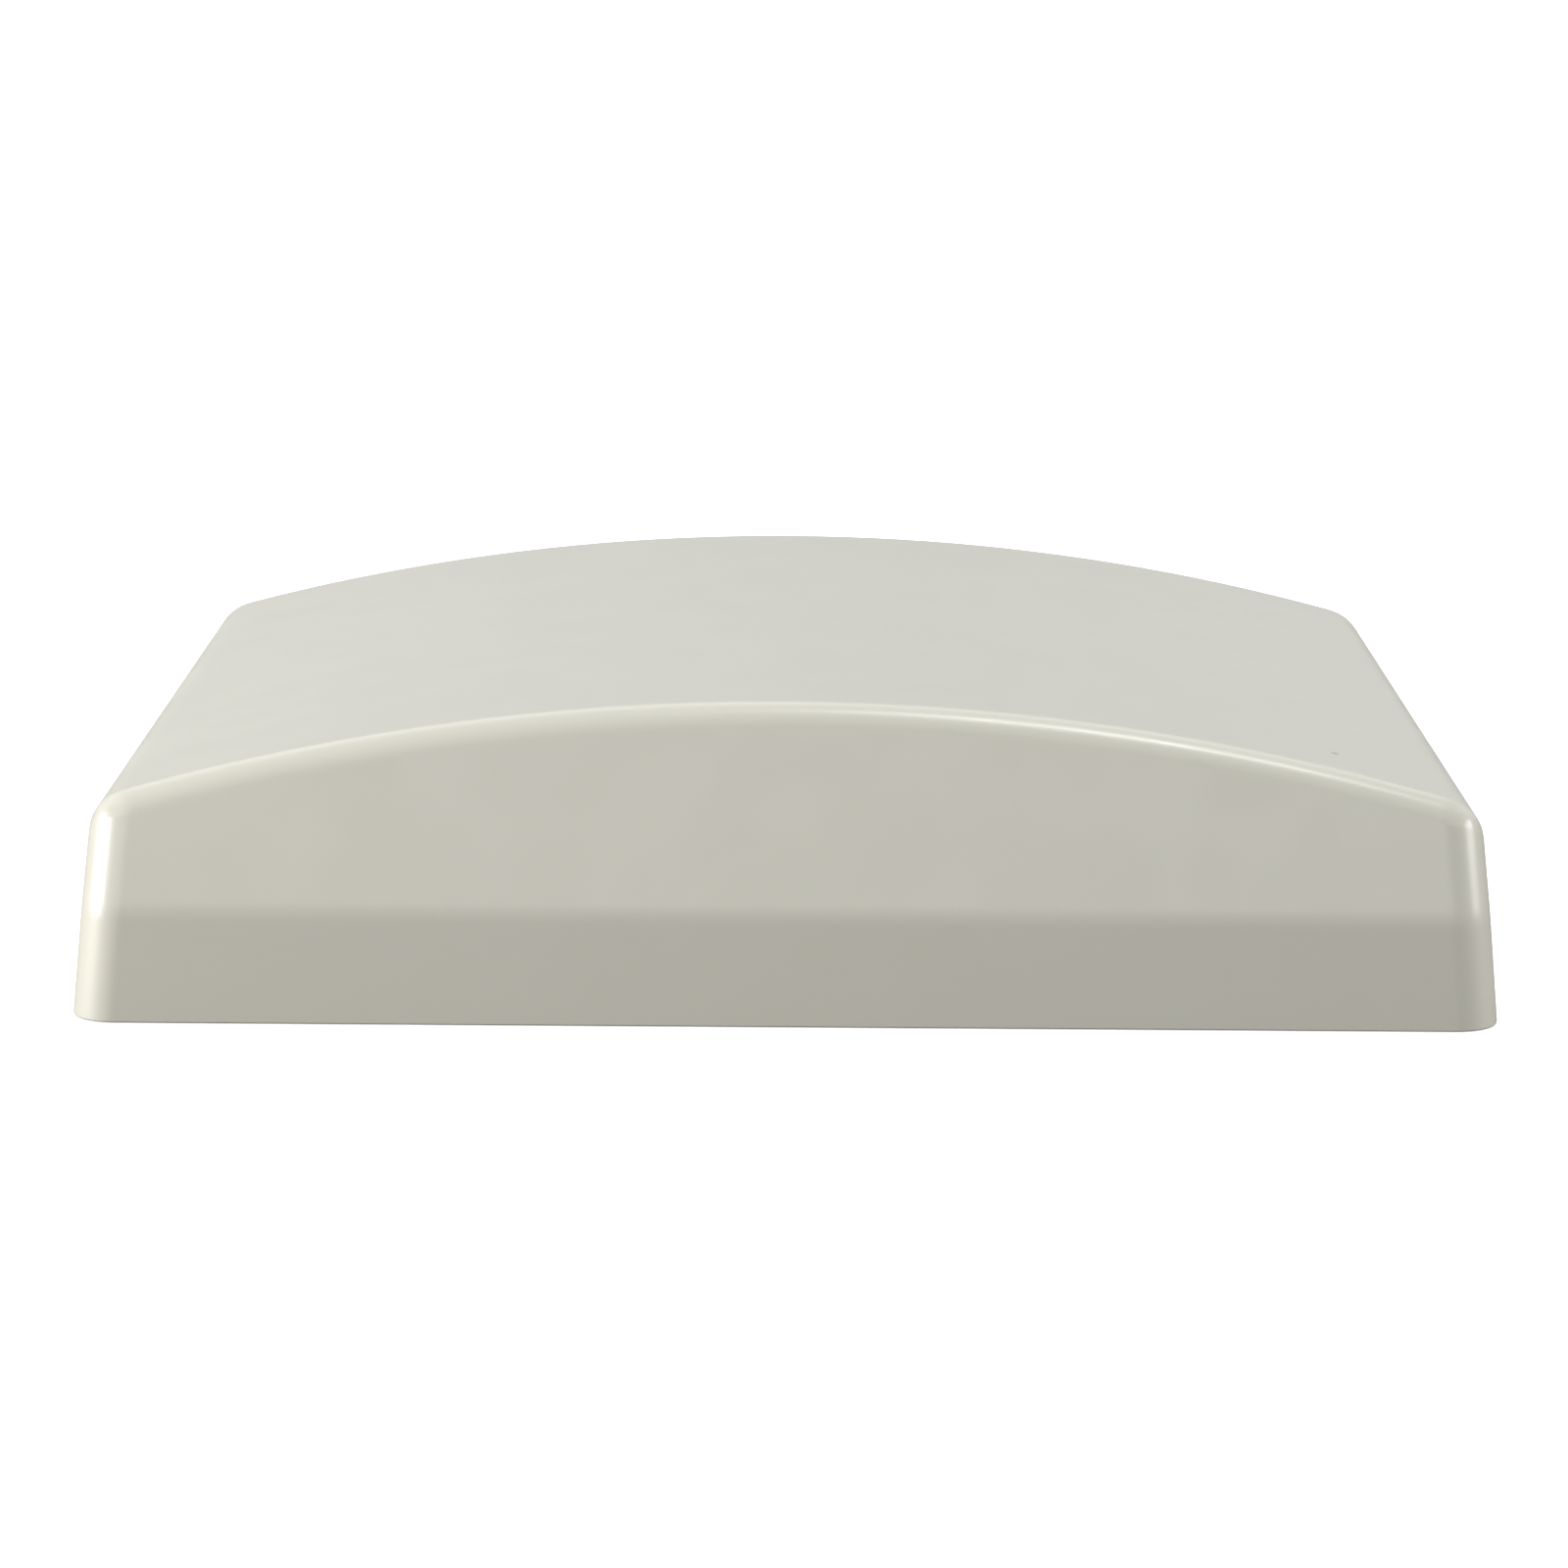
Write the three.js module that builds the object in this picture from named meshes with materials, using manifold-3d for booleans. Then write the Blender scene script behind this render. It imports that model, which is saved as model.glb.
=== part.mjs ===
// Directional panel antenna for a wall or mast, in millimetres.
// +Z looks out of the arched radome, X runs across the arch, and the N jack leaves the +Y end.
// The origin is the centre of the flat back face. Inside, a reflector tray, a driven plate and a
// director plate are stacked along +Z, as the elements of a Yagi are.

import * as THREE from 'three';
import { mergeVertices } from 'three/addons/utils/BufferGeometryUtils.js';
import Module from 'manifold-3d';

const wasm = await Module();
wasm.setup();

// ---------------------------------------------------------------- driving dimensions

const fitGap = 0.3; // between two pieces that touch, or one that sits in the other

// Radome
const rimWidth = 210; // X, at the back face
const rimLength = 180; // Y, at the back face
const crownHeight = 46.6; // back face to the top of the arch
const eaveHeight = 31.9; // back face to the line where side wall and roof would meet
const creaseHeight = 16.5; // where the end walls lean further in
const creaseBlend = 1.6; // half the height over which the crease is softened
const sideDraft = 5.2; // degrees
const lowerEndDraft = 2.6; // degrees, below the crease
const upperEndDraft = 12.3; // degrees, above the crease
const cornerRadius = 6.7; // upright corners, in plan
const eaveRadius = 10; // side wall to roof
const brimRadius = 4.5; // end wall to roof
const skin = 2.6; // wall and roof thickness
const shoulderWidth = 3; // ledge inside the rim that the gasket seals against
const shoulderHeight = 2.5;
const coverBossRadius = 4.5;
const leastInnerCorner = 1; // radius of the hollow's upright corners, at the least
const leastInnerEdge = 0.8; // radius where the hollow's wall meets its roof, at the least

// Back plate
const plateThickness = 3.5;
const screwPadRadius = 5.5;
const screwPadClearance = 0.9; // radome's ledge to the screw pads
const screwPadHeight = 2.5;
const ribWidth = 1.8;
const ribHeight = 4;
const gasketWidth = 2.2;
const gasketThickness = 1.4;

// Cover screws, 3.9 mm self-tapping
const coverScrewRadius = 1.95;
const coverScrewLength = 16;
const coverHeadRadius = 3.5;
const coverHeadHeight = 2.4;
const coverHeadSink = 0.3; // head top below the back face
const coverTipLength = 2.5;
const headEase = 0.6; // rounding of a pan head's edge
const recessDepth = 1.2; // of the driver's cross
const pilotSpare = 1; // hole beyond a screw's tip

// Threaded inserts for a wall or mast bracket
const bracketPitch = 75; // square, centre to centre
const insertThreadRadius = 3.15; // room for an M6 screw, its thread drawn plain
const insertRadius = 4.3;
const insertLength = 8;
const insertBossWall = 2.2;
const insertBossRoof = 1.6;
const insertGroove = 0.4; // depth of the groove round an insert's middle

// Breather vent and rating label
const ventInset = 22; // -Y rim edge to the vent
const ventHeadRadius = 6.5;
const ventHeadHeight = 1.4;
const ventStemRadius = 3;
const ventStemLength = 5.2;
const ventEase = 0.5; // rounding of the vent head's edge
const labelWidth = 60;
const labelLength = 24;
const labelThickness = 0.3;
const labelCorner = 1.7;
const labelInset = 28; // +Y rim edge to the label's centre

// Reflector tray
const trayMargin = 25; // rim edge to the tray, all round
const trayLip = 8;
const traySheet = 1.5;
const nutClearance = 0.4; // insert bosses to the ends of the element bolts
const trayCornerRadius = 3;
const pillarInset = 12; // tray edge to its screws, both ways
const pillarRadius = 4;
const trayScrewRadius = 1.45;
const trayScrewLength = 8;
const trayHeadRadius = 2.75;
const trayHeadHeight = 2;

// Driven plate and director plate, held on four nylon bolts
const drivenWidth = 110;
const drivenLength = 96;
const drivenSheet = 1.5;
const drivenSlotOffset = 14;
const drivenSlotWidth = 5;
const drivenSlotLength = 50;
const directorWidth = 92;
const directorLength = 78;
const directorSheet = 1.2;
const directorCorner = 9;
const lowerSpacing = 8; // length of the spacers under the driven plate
const boltHeadroom = 5.8; // element bolt heads to the inside of the crown
const columnPitchX = 60;
const columnPitchY = 50;
const spacerRadius = 3.5;
const boltRadius = 1.5;
const boltHeadRadius = 3;
const boltHeadHeight = 2.2;
const nutFlats = 5.5;
const nutHeight = 2.4;
const boltSpare = 0.5; // bolt beyond its nut

// Feed
const coaxRadius = 1.8;
const coaxClearance = 0.6; // coax above the tray
const coaxStripped = 5; // bare inner conductor between the jacket's end and the pin
const coaxStraight = 8; // straight jacket at the jack, and each side of the saddle
const coaxDip = 0.4; // fall of the jacket along the straight at the jack
const feedReach = 21; // saddle's middle to the feed pin
const feedBend = 1.4; // how tightly the pin turns up
const feedPinRadius = 0.6;
const feedPinStand = 0.9; // pin above the driven plate
const saddleInset = 21; // +Y tray edge to the saddle's middle
const saddleLength = 7;
const saddleSheet = 0.8;
const saddleFoot = 4;

// N jack, nut and cap, along the jack's own axis from the face of its pad
const jackPadRim = 3.9; // pad round the hole for the jack
const jackPadClearance = 1.5; // pad above the face that the gasket seals against
const jackPadStand = 1; // pad face beyond the rim
const jackPadInside = 0.8; // pad beyond the inside of the end wall, at the washer's top
const jackTailRadius = 7.8;
const jackThreadStand = 0.1; // thread's crest beyond the tail
const jackTailLength = 7; // beyond the inner face of the pad
const jackFlangeRim = 1.7; // flange's flats beyond the tail
const jackFlangeThickness = 3.2;
const jackBarrelLength = 12;
const jackMouthStep = 0.6; // mouth's wall beyond the insulator's bore
const jackMouthDepth = 9;
const jackLead = 0.6; // chamfer at the end of the thread
const jackInsulatorRadius = 3.3;
const jackInsulatorInset = 1; // insulator inside the end of the tail
const jackContactRadius = 1.6;
const jackContactReach = 5.5; // contact beyond the insulator, inside the mouth
const jackContactStand = 1; // contact beyond the end of the tail
const contactSocketRadius = 0.85;
const contactSocketDepth = 4;
const contactSlit = 0.4;
const contactEase = 0.3; // rounding of the contact's ends
const sealRim = 1.2; // seal's centreline beyond the tail
const sealSection = 0.7;
const washerRim = 2.6; // washer beyond the tail
const washerThickness = 1;
const jackNutRim = 1.7; // nut's flats beyond the tail
const jackNutThickness = 3;
const capWall = 1.5;
const capGripRadius = 0.5;
const capGripCount = 12;
const capCollar = 1.5; // straight band at the cap's open end
const capChamfer = 0.8;

// Joining and cutting
const rootDepth = 0.5; // how far a boss or a rib starts inside the plate it stands on
const cutPast = 1; // how far a cut runs past the face it leaves through
const lapDepth = 1; // how far two forms reach into each other where they are joined

// Facets round a full turn
const fineSides = 24;
const plainSides = 16;
const smallSides = 12;
const cornerSegments = 4; // in each quarter of a sheet's or a plate's corner

// ---------------------------------------------------------------- worked-out sizes

const radians = THREE.MathUtils.degToRad;
const sideLean = Math.tan(radians(sideDraft));
const lowerLean = Math.tan(radians(lowerEndDraft));
const upperLean = Math.tan(radians(upperEndDraft));

const eaveHalf = rimWidth / 2 - eaveHeight * sideLean;
const archRise = crownHeight - eaveHeight;
const archRadius = (eaveHalf ** 2 + archRise ** 2) / (2 * archRise);

const gasketBottom = plateThickness + fitGap;
const shoulderBottom = gasketBottom + gasketThickness + fitGap;
const shoulderTop = shoulderBottom + shoulderHeight;
const padTop = plateThickness + screwPadHeight;
const coverScrewInset = skin + shoulderWidth + screwPadClearance + screwPadRadius;

const insertTop = fitGap + insertLength + fitGap;
const insertBossTop = insertTop + insertBossRoof;
const boltEnd = insertBossTop + nutClearance;
const nutBottom = boltEnd + boltSpare;
const trayStandoff = nutBottom + nutHeight + fitGap;
const trayWidth = rimWidth - 2 * trayMargin;
const trayLength = rimLength - 2 * trayMargin;

const trayTop = trayStandoff + traySheet;
const lowerSpacerBottom = trayTop + fitGap;
const drivenBottom = lowerSpacerBottom + lowerSpacing + fitGap;
const drivenTop = drivenBottom + drivenSheet;
const boltHeadBottom = crownHeight - skin - boltHeadroom - boltHeadHeight;
const directorTop = boltHeadBottom - fitGap;
const directorBottom = directorTop - directorSheet;
const upperSpacerBottom = drivenTop + fitGap;
const upperSpacing = directorBottom - fitGap - upperSpacerBottom;

const coaxLow = trayTop + coaxClearance + coaxRadius;

const tailHole = jackTailRadius + fitGap;
const jackThreadRadius = jackTailRadius + jackThreadStand;
const jackFlangeFlats = 2 * (jackTailRadius + jackFlangeRim);
const jackNutFlats = 2 * (jackTailRadius + jackNutRim);
const jackPadRadius = tailHole + jackPadRim;
const leastJackHeight = shoulderBottom + jackPadClearance + jackPadRadius;
const jackHeight = Math.max(leastJackHeight, coaxLow + coaxDip);
const sealRadius = jackTailRadius + sealRim;
const washerRadius = jackTailRadius + washerRim;
const padFaceY = rimLength / 2 + jackPadStand;
const wallInset = endInset(jackHeight + washerRadius) + skin;
const jackPadDepth = jackPadStand + wallInset + jackPadInside;
const sealTop = fitGap + 2 * sealSection;
const flangeBottom = sealTop + fitGap;
const flangeTop = flangeBottom + jackFlangeThickness;
const jackMouth = flangeTop + jackBarrelLength;
const jackTail = -jackPadDepth - jackTailLength;
const insulatorBore = jackInsulatorRadius + fitGap;
const jackMouthRadius = insulatorBore + jackMouthStep;
const insulatorTop = jackMouth - jackMouthDepth - fitGap;
const contactTail = jackTail - jackContactStand;

const coaxStartY = padFaceY + contactTail - fitGap;
const saddleY = trayLength / 2 - saddleInset;
const feedY = saddleY - feedReach;
const coaxEndY = feedY + coaxStripped;

const corners = [[1, 1], [-1, 1], [-1, -1], [1, -1]];
const grid = (pitchX, pitchY) => corners.map(([sx, sy]) => [(sx * pitchX) / 2, (sy * pitchY) / 2]);

const coverScrewSpots = [
  ...grid(rimWidth - 2 * coverScrewInset, rimLength - 2 * coverScrewInset),
  [rimWidth / 2 - coverScrewInset, 0],
  [coverScrewInset - rimWidth / 2, 0],
];
const insertSpots = grid(bracketPitch, bracketPitch);
const traySpots = grid(trayWidth - 2 * pillarInset, trayLength - 2 * pillarInset);
const columnSpots = grid(columnPitchX, columnPitchY);

// ---------------------------------------------------------------- finishes

const finish = (color, roughness, metalness = 0) => ({ color, roughness, metalness });
const offWhite = finish(0xdedcd0, 0.4);
const silicone = finish(0x8a8d8c, 0.8);
const stainless = finish(0xb9bcbf, 0.3, 1);
const brass = finish(0xc3a052, 0.32, 1);
const nickel = finish(0xc9c7c0, 0.22, 1);
const aluminium = finish(0xc4c8cb, 0.38, 1);
const nylon = finish(0xeceade, 0.5);
const ptfe = finish(0xf4f4f0, 0.45);
const labelFilm = finish(0xcfd2d3, 0.35, 0.4);
const ventBlack = finish(0x26282a, 0.6);
const jacketTan = finish(0x8f6b3d, 0.45);
const gold = finish(0xd8b45a, 0.22, 1);
const capBlack = finish(0x1f2022, 0.5);

// ---------------------------------------------------------------- solids

// A closed geometry made ready for joining and cutting.
function toSolid(geometry) {
  const bare = geometry.clone();
  bare.deleteAttribute('normal');
  bare.deleteAttribute('uv');
  const merged = mergeVertices(bare, 1e-4);
  const mesh = new wasm.Mesh({
    numProp: 3,
    vertProperties: new Float32Array(merged.attributes.position.array),
    triVerts: new Uint32Array(merged.index.array),
  });
  return new wasm.Manifold(mesh);
}

function toGeometry(solid) {
  const mesh = solid.getMesh();
  const geometry = new THREE.BufferGeometry();
  geometry.setAttribute('position', new THREE.BufferAttribute(mesh.vertProperties, 3));
  geometry.setIndex(new THREE.BufferAttribute(mesh.triVerts, 1));
  geometry.computeVertexNormals();
  return geometry;
}

function shaped(base, { add = [], cut = [] }) {
  let solid = toSolid(base);
  for (const geometry of add) {
    solid = solid.add(toSolid(geometry));
  }
  for (const geometry of cut) {
    solid = solid.subtract(toSolid(geometry));
  }
  return toGeometry(solid);
}

// A rounded rectangle in plan, or a plain one where the radius is 0.
function rectangle(width, length, radius, x = 0, y = 0) {
  const halfW = width / 2;
  const halfL = length / 2;
  const shape = new THREE.Shape();
  if (radius === 0) {
    shape.moveTo(x + halfW, y - halfL);
    shape.lineTo(x + halfW, y + halfL);
    shape.lineTo(x - halfW, y + halfL);
    shape.lineTo(x - halfW, y - halfL);
    return shape;
  }
  corners.forEach(([sx, sy], turn) => {
    const start = (turn * Math.PI) / 2;
    const centreX = x + sx * (halfW - radius);
    const centreY = y + sy * (halfL - radius);
    shape.absarc(centreX, centreY, radius, start, start + Math.PI / 2, false);
  });
  return shape;
}

function circle(radius, x = 0, y = 0) {
  return new THREE.Path().absarc(x, y, radius, 0, 2 * Math.PI, false);
}

// An outline pulled up from one height to another.
function slab(shape, bottom, top, curveSegments = cornerSegments) {
  const depth = top - bottom;
  const geometry = new THREE.ExtrudeGeometry(shape, { depth, curveSegments, bevelEnabled: false });
  return geometry.translate(0, 0, bottom);
}

// An upright round post.
function post(radius, bottom, top, x = 0, y = 0, sides = plainSides) {
  const geometry = new THREE.CylinderGeometry(radius, radius, top - bottom, sides);
  geometry.rotateX(Math.PI / 2);
  return geometry.translate(x, y, (bottom + top) / 2);
}

// A solid of revolution about Z, from pairs of radius and height, bottom to top.
function turned(profile, sides = plainSides) {
  const points = profile.map(([radius, height]) => new THREE.Vector2(radius, height));
  return new THREE.LatheGeometry(points, sides).rotateX(Math.PI / 2);
}

// A ring of rectangular section about Z.
function ring(inner, outer, bottom, top, sides = plainSides) {
  return turned([[inner, bottom], [outer, bottom], [outer, top], [inner, top], [inner, bottom]], sides);
}

// A six-sided prism, by its width across the flats.
function hexPrism(flats, bottom, top) {
  return post(flats / 2 / Math.cos(Math.PI / 6), bottom, top, 0, 0, 6);
}

// The two slots of a driver's cross recess.
function crossRecess(span, bottom, top) {
  const slot = span / 4;
  return [
    slab(rectangle(span, slot, 0), bottom, top),
    slab(rectangle(slot, span, 0), bottom, top),
  ];
}

// ---------------------------------------------------------------- radome form

// Roof height above the back face, measured on a surface that lies `inset` below the outside.
function roofHeight(x, inset) {
  return crownHeight - archRadius + Math.sqrt((archRadius - inset) ** 2 - x ** 2);
}

// How far the end wall has leaned in by height z, with the crease softened by a parabola.
function endInset(z) {
  const above = z - creaseHeight;
  const change = upperLean - lowerLean;
  if (above <= -creaseBlend) {
    return z * lowerLean;
  }
  if (above >= creaseBlend) {
    return z * lowerLean + above * change;
  }
  return z * lowerLean + ((above + creaseBlend) ** 2 / (4 * creaseBlend)) * change;
}

// Places round the outline: which corner or straight run, and how far along it.
const endSteps = 14;
const sideSteps = 4;
const cornerSteps = 5;

function outlineStations() {
  const stations = [];
  corners.forEach(([sx, sy], turn) => {
    for (let step = 0; step <= cornerSteps; step += 1) {
      const angle = ((turn + step / cornerSteps) * Math.PI) / 2;
      stations.push({ sx, sy, cos: Math.cos(angle), sin: Math.sin(angle) });
    }
    const [nextX, nextY] = corners[(turn + 1) % 4];
    const count = sx === nextX ? sideSteps : endSteps;
    const normal = ((turn + 1) * Math.PI) / 2;
    for (let step = 1; step < count; step += 1) {
      const along = step / count;
      stations.push({
        sx: THREE.MathUtils.lerp(sx, nextX, along),
        sy: THREE.MathUtils.lerp(sy, nextY, along),
        cos: Math.cos(normal),
        sin: Math.sin(normal),
      });
    }
  });
  return stations;
}

// A point on the wall at a station and height, `inset` inside the outside.
function wallPoint(station, z, inset) {
  const radius = Math.max(cornerRadius - inset, leastInnerCorner);
  const reachX = rimWidth / 2 - z * sideLean - inset - radius;
  const reachY = rimLength / 2 - endInset(z) - inset - radius;
  return new THREE.Vector3(
    station.sx * reachX + station.cos * radius,
    station.sy * reachY + station.sin * radius,
    z,
  );
}

// The arc that rounds a corner between two unit directions leaving it.
function roundedCorner(corner, down, inward, radius, steps) {
  const half = down.angleTo(inward) / 2;
  const reach = radius / Math.tan(half);
  const middle = down.clone().add(inward).normalize();
  const centre = corner.clone().addScaledVector(middle, radius / Math.sin(half));
  const from = corner.clone().addScaledVector(down, reach).sub(centre);
  const to = corner.clone().addScaledVector(inward, reach).sub(centre);
  const sweep = from.angleTo(to);
  const points = [];
  for (let step = 0; step <= steps; step += 1) {
    const along = (step / steps) * sweep;
    const point = centre.clone();
    point.addScaledVector(from, Math.sin(sweep - along) / Math.sin(sweep));
    point.addScaledVector(to, Math.sin(along) / Math.sin(sweep));
    points.push(point);
  }
  return points;
}

// The wall's profile at one station, from `bottom` up over the edge to the start of the roof.
function wallProfile(station, bottom, inset, filletSteps) {
  let top = eaveHeight;
  for (let pass = 0; pass < 12; pass += 1) {
    top = roofHeight(wallPoint(station, top, inset).x, inset);
  }
  const corner = wallPoint(station, top, inset);
  const down = wallPoint(station, top - 1, inset).sub(corner).normalize();
  const inward = new THREE.Vector3(-station.cos, -station.sin, 0);
  inward.add(corner);
  inward.z = roofHeight(inward.x, inset);
  inward.sub(corner).normalize();
  const outerRadius = eaveRadius * station.cos ** 2 + brimRadius * station.sin ** 2;
  const radius = Math.max(outerRadius - inset, leastInnerEdge);
  const levels = [bottom];
  for (let step = -2; step <= 2; step += 1) {
    levels.push(creaseHeight + (step / 2) * creaseBlend);
  }
  const wall = levels.map((z) => wallPoint(station, z, inset));
  return wall.concat(roundedCorner(corner, down, inward, radius, filletSteps));
}

// The closed form of the radome, `inset` inside its outside: the outside itself at 0, the hollow at
// the skin's thickness.
function radomeForm(bottom, inset, filletSteps, roofSteps) {
  const columns = outlineStations().map((s) => wallProfile(s, bottom, inset, filletSteps));
  for (const column of columns) {
    const edge = column[column.length - 1];
    for (let step = 1; step < roofSteps; step += 1) {
      const x = edge.x * (1 - step / roofSteps);
      const y = edge.y * (1 - step / roofSteps);
      column.push(new THREE.Vector3(x, y, roofHeight(x, inset)));
    }
  }
  const levels = columns[0].length;
  const count = columns.length;
  const positions = [];
  for (const column of columns) {
    for (const point of column) {
      positions.push(point.x, point.y, point.z);
    }
  }
  const base = count * levels;
  positions.push(0, 0, bottom);
  positions.push(0, 0, roofHeight(0, inset));
  const index = [];
  for (let side = 0; side < count; side += 1) {
    const here = side * levels;
    const next = ((side + 1) % count) * levels;
    index.push(base, next, here);
    for (let level = 0; level < levels - 1; level += 1) {
      index.push(here + level, next + level, next + level + 1);
      index.push(here + level, next + level + 1, here + level + 1);
    }
    index.push(here + levels - 1, next + levels - 1, base + 1);
  }
  const geometry = new THREE.BufferGeometry();
  geometry.setAttribute('position', new THREE.Float32BufferAttribute(positions, 3));
  geometry.setIndex(index);
  return geometry;
}

// The rim outline, moved in by a distance.
function rimOutline(inset) {
  const radius = Math.max(cornerRadius - inset, leastInnerCorner);
  return rectangle(rimWidth - 2 * inset, rimLength - 2 * inset, radius);
}

// A round post along Y, through the jack's axis.
function jackPost(radius, fromY, toY) {
  const geometry = new THREE.CylinderGeometry(radius, radius, toY - fromY, fineSides);
  return geometry.translate(0, (fromY + toY) / 2, jackHeight);
}

function makeRadome() {
  const outside = toSolid(radomeForm(0, 0, 5, 4));
  const hollow = toSolid(radomeForm(shoulderTop, skin, 2, 3));
  const pocket = toSolid(slab(rimOutline(skin), -cutPast, shoulderBottom));
  const throat = toSolid(slab(rimOutline(skin + shoulderWidth), -cutPast, shoulderTop + cutPast));
  let shell = outside.subtract(hollow).subtract(pocket).subtract(throat);
  const reach = toSolid(radomeForm(0, skin / 2, 1, 3));
  const bossBottom = padTop + fitGap;
  for (const [x, y] of coverScrewSpots) {
    const boss = toSolid(post(coverBossRadius, bossBottom, crownHeight, x, y));
    shell = shell.add(boss.intersect(reach));
  }
  const pilot = coverHeadSink + coverHeadHeight + coverScrewLength + pilotSpare;
  for (const [x, y] of coverScrewSpots) {
    shell = shell.subtract(toSolid(post(coverScrewRadius + fitGap, -cutPast, pilot, x, y, smallSides)));
  }
  shell = shell.add(toSolid(jackPost(jackPadRadius, padFaceY - jackPadDepth, padFaceY)));
  const bore = jackPost(tailHole, padFaceY - jackPadDepth - cutPast, padFaceY + cutPast);
  return toGeometry(shell.subtract(toSolid(bore)));
}

// ---------------------------------------------------------------- back

function makeBackPlate() {
  const outline = rimOutline(skin + fitGap);
  const insertHole = insertRadius + fitGap;
  const add = [];
  const cut = [];
  for (const [x, y] of coverScrewSpots) {
    add.push(post(screwPadRadius, plateThickness - rootDepth, padTop, x, y));
    cut.push(post(coverScrewRadius + fitGap, -cutPast, padTop + cutPast, x, y, smallSides));
    const recess = coverHeadSink + coverHeadHeight + fitGap;
    cut.push(post(coverHeadRadius + fitGap, -cutPast, recess, x, y));
  }
  for (const [x, y] of insertSpots) {
    add.push(post(insertHole + insertBossWall, plateThickness - rootDepth, insertBossTop, x, y));
    cut.push(post(insertHole, -cutPast, insertTop, x, y));
  }
  for (const [x, y] of traySpots) {
    const pillarTop = trayStandoff - fitGap;
    add.push(post(pillarRadius, plateThickness - rootDepth, pillarTop, x, y));
    const pilot = trayTop + fitGap - trayScrewLength - pilotSpare;
    cut.push(post(trayScrewRadius + fitGap, pilot, pillarTop + cutPast, x, y, smallSides));
  }
  for (const side of [-1, 1]) {
    const offset = (side * bracketPitch) / 2;
    const ribTop = plateThickness + ribHeight;
    const ribRun = bracketPitch - 2 * insertHole;
    add.push(slab(rectangle(ribRun, ribWidth, 0, 0, offset), plateThickness - rootDepth, ribTop));
    add.push(slab(rectangle(ribWidth, ribRun, 0, offset, 0), plateThickness - rootDepth, ribTop));
  }
  const ventY = ventInset - rimLength / 2;
  cut.push(post(ventStemRadius + fitGap, -cutPast, plateThickness + cutPast, 0, ventY));
  cut.push(post(ventHeadRadius + fitGap, -cutPast, ventHeadHeight + fitGap, 0, ventY));
  const label = rectangle(labelWidth + 2 * fitGap, labelLength + 2 * fitGap, labelCorner + fitGap);
  cut.push(slab(label, -cutPast, labelThickness + 2 * fitGap).translate(0, rimLength / 2 - labelInset, 0));
  return shaped(slab(outline, 0, plateThickness), { add, cut });
}

function makeGasket() {
  const outer = rimOutline(skin + fitGap);
  outer.holes.push(rimOutline(skin + fitGap + gasketWidth));
  return slab(outer, gasketBottom, gasketBottom + gasketThickness);
}

// A pan-head screw that points up, its head's top at the origin's height.
function makeCoverScrew() {
  const tip = coverHeadHeight + coverScrewLength;
  const body = turned([
    [0, 0],
    [coverHeadRadius - headEase, 0],
    [coverHeadRadius, headEase],
    [coverHeadRadius, coverHeadHeight],
    [coverScrewRadius, coverHeadHeight],
    [coverScrewRadius, tip - coverTipLength],
    [0, tip],
  ], smallSides);
  return shaped(body, { cut: crossRecess(coverHeadRadius, -cutPast, recessDepth) });
}

function makeInsert() {
  const waist = insertRadius - insertGroove;
  const third = insertLength / 3;
  return turned([
    [insertThreadRadius, 0],
    [insertRadius, 0],
    [insertRadius, third],
    [waist, third],
    [waist, 2 * third],
    [insertRadius, 2 * third],
    [insertRadius, insertLength],
    [insertThreadRadius, insertLength],
    [insertThreadRadius, 0],
  ]);
}

function makeVent() {
  return turned([
    [0, 0],
    [ventHeadRadius - ventEase, 0],
    [ventHeadRadius, ventEase],
    [ventHeadRadius, ventHeadHeight],
    [ventStemRadius, ventHeadHeight],
    [ventStemRadius, ventHeadHeight + ventStemLength],
    [0, ventHeadHeight + ventStemLength],
  ]);
}

// ---------------------------------------------------------------- elements

function makeTray() {
  const outer = rectangle(trayWidth, trayLength, trayCornerRadius);
  const insideRadius = trayCornerRadius - traySheet;
  const inner = rectangle(trayWidth - 2 * traySheet, trayLength - 2 * traySheet, insideRadius);
  const lipTop = trayStandoff + trayLip;
  const cut = [slab(inner, trayTop, lipTop + cutPast)];
  for (const [x, y] of traySpots) {
    cut.push(post(trayScrewRadius + fitGap, trayStandoff - cutPast, trayTop + cutPast, x, y, smallSides));
  }
  for (const [x, y] of columnSpots) {
    cut.push(post(boltRadius + fitGap, trayStandoff - cutPast, trayTop + cutPast, x, y, smallSides));
  }
  const notchWidth = 4 * coaxRadius;
  const notch = rectangle(notchWidth, 4 * traySheet, 0, 0, trayLength / 2);
  cut.push(slab(notch, trayTop, lipTop + cutPast));
  return shaped(slab(outer, trayStandoff, lipTop), { cut });
}

function columnHoles(shape) {
  for (const [x, y] of columnSpots) {
    shape.holes.push(circle(boltRadius + fitGap, x, y));
  }
  return shape;
}

// The driven plate has two slots that open at its -Y edge, which widen its band.
function makeDriven() {
  const halfW = drivenWidth / 2;
  const halfL = drivenLength / 2;
  const shape = new THREE.Shape();
  shape.moveTo(halfW, -halfL);
  shape.lineTo(halfW, halfL);
  shape.lineTo(-halfW, halfL);
  shape.lineTo(-halfW, -halfL);
  for (const side of [-1, 1]) {
    const near = side * drivenSlotOffset - drivenSlotWidth / 2;
    const far = near + drivenSlotWidth;
    const end = drivenSlotLength - halfL;
    shape.lineTo(near, -halfL);
    shape.lineTo(near, end);
    shape.lineTo(far, end);
    shape.lineTo(far, -halfL);
  }
  columnHoles(shape);
  shape.holes.push(circle(feedPinRadius + fitGap, 0, feedY));
  return slab(shape, drivenBottom, drivenTop);
}

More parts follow.
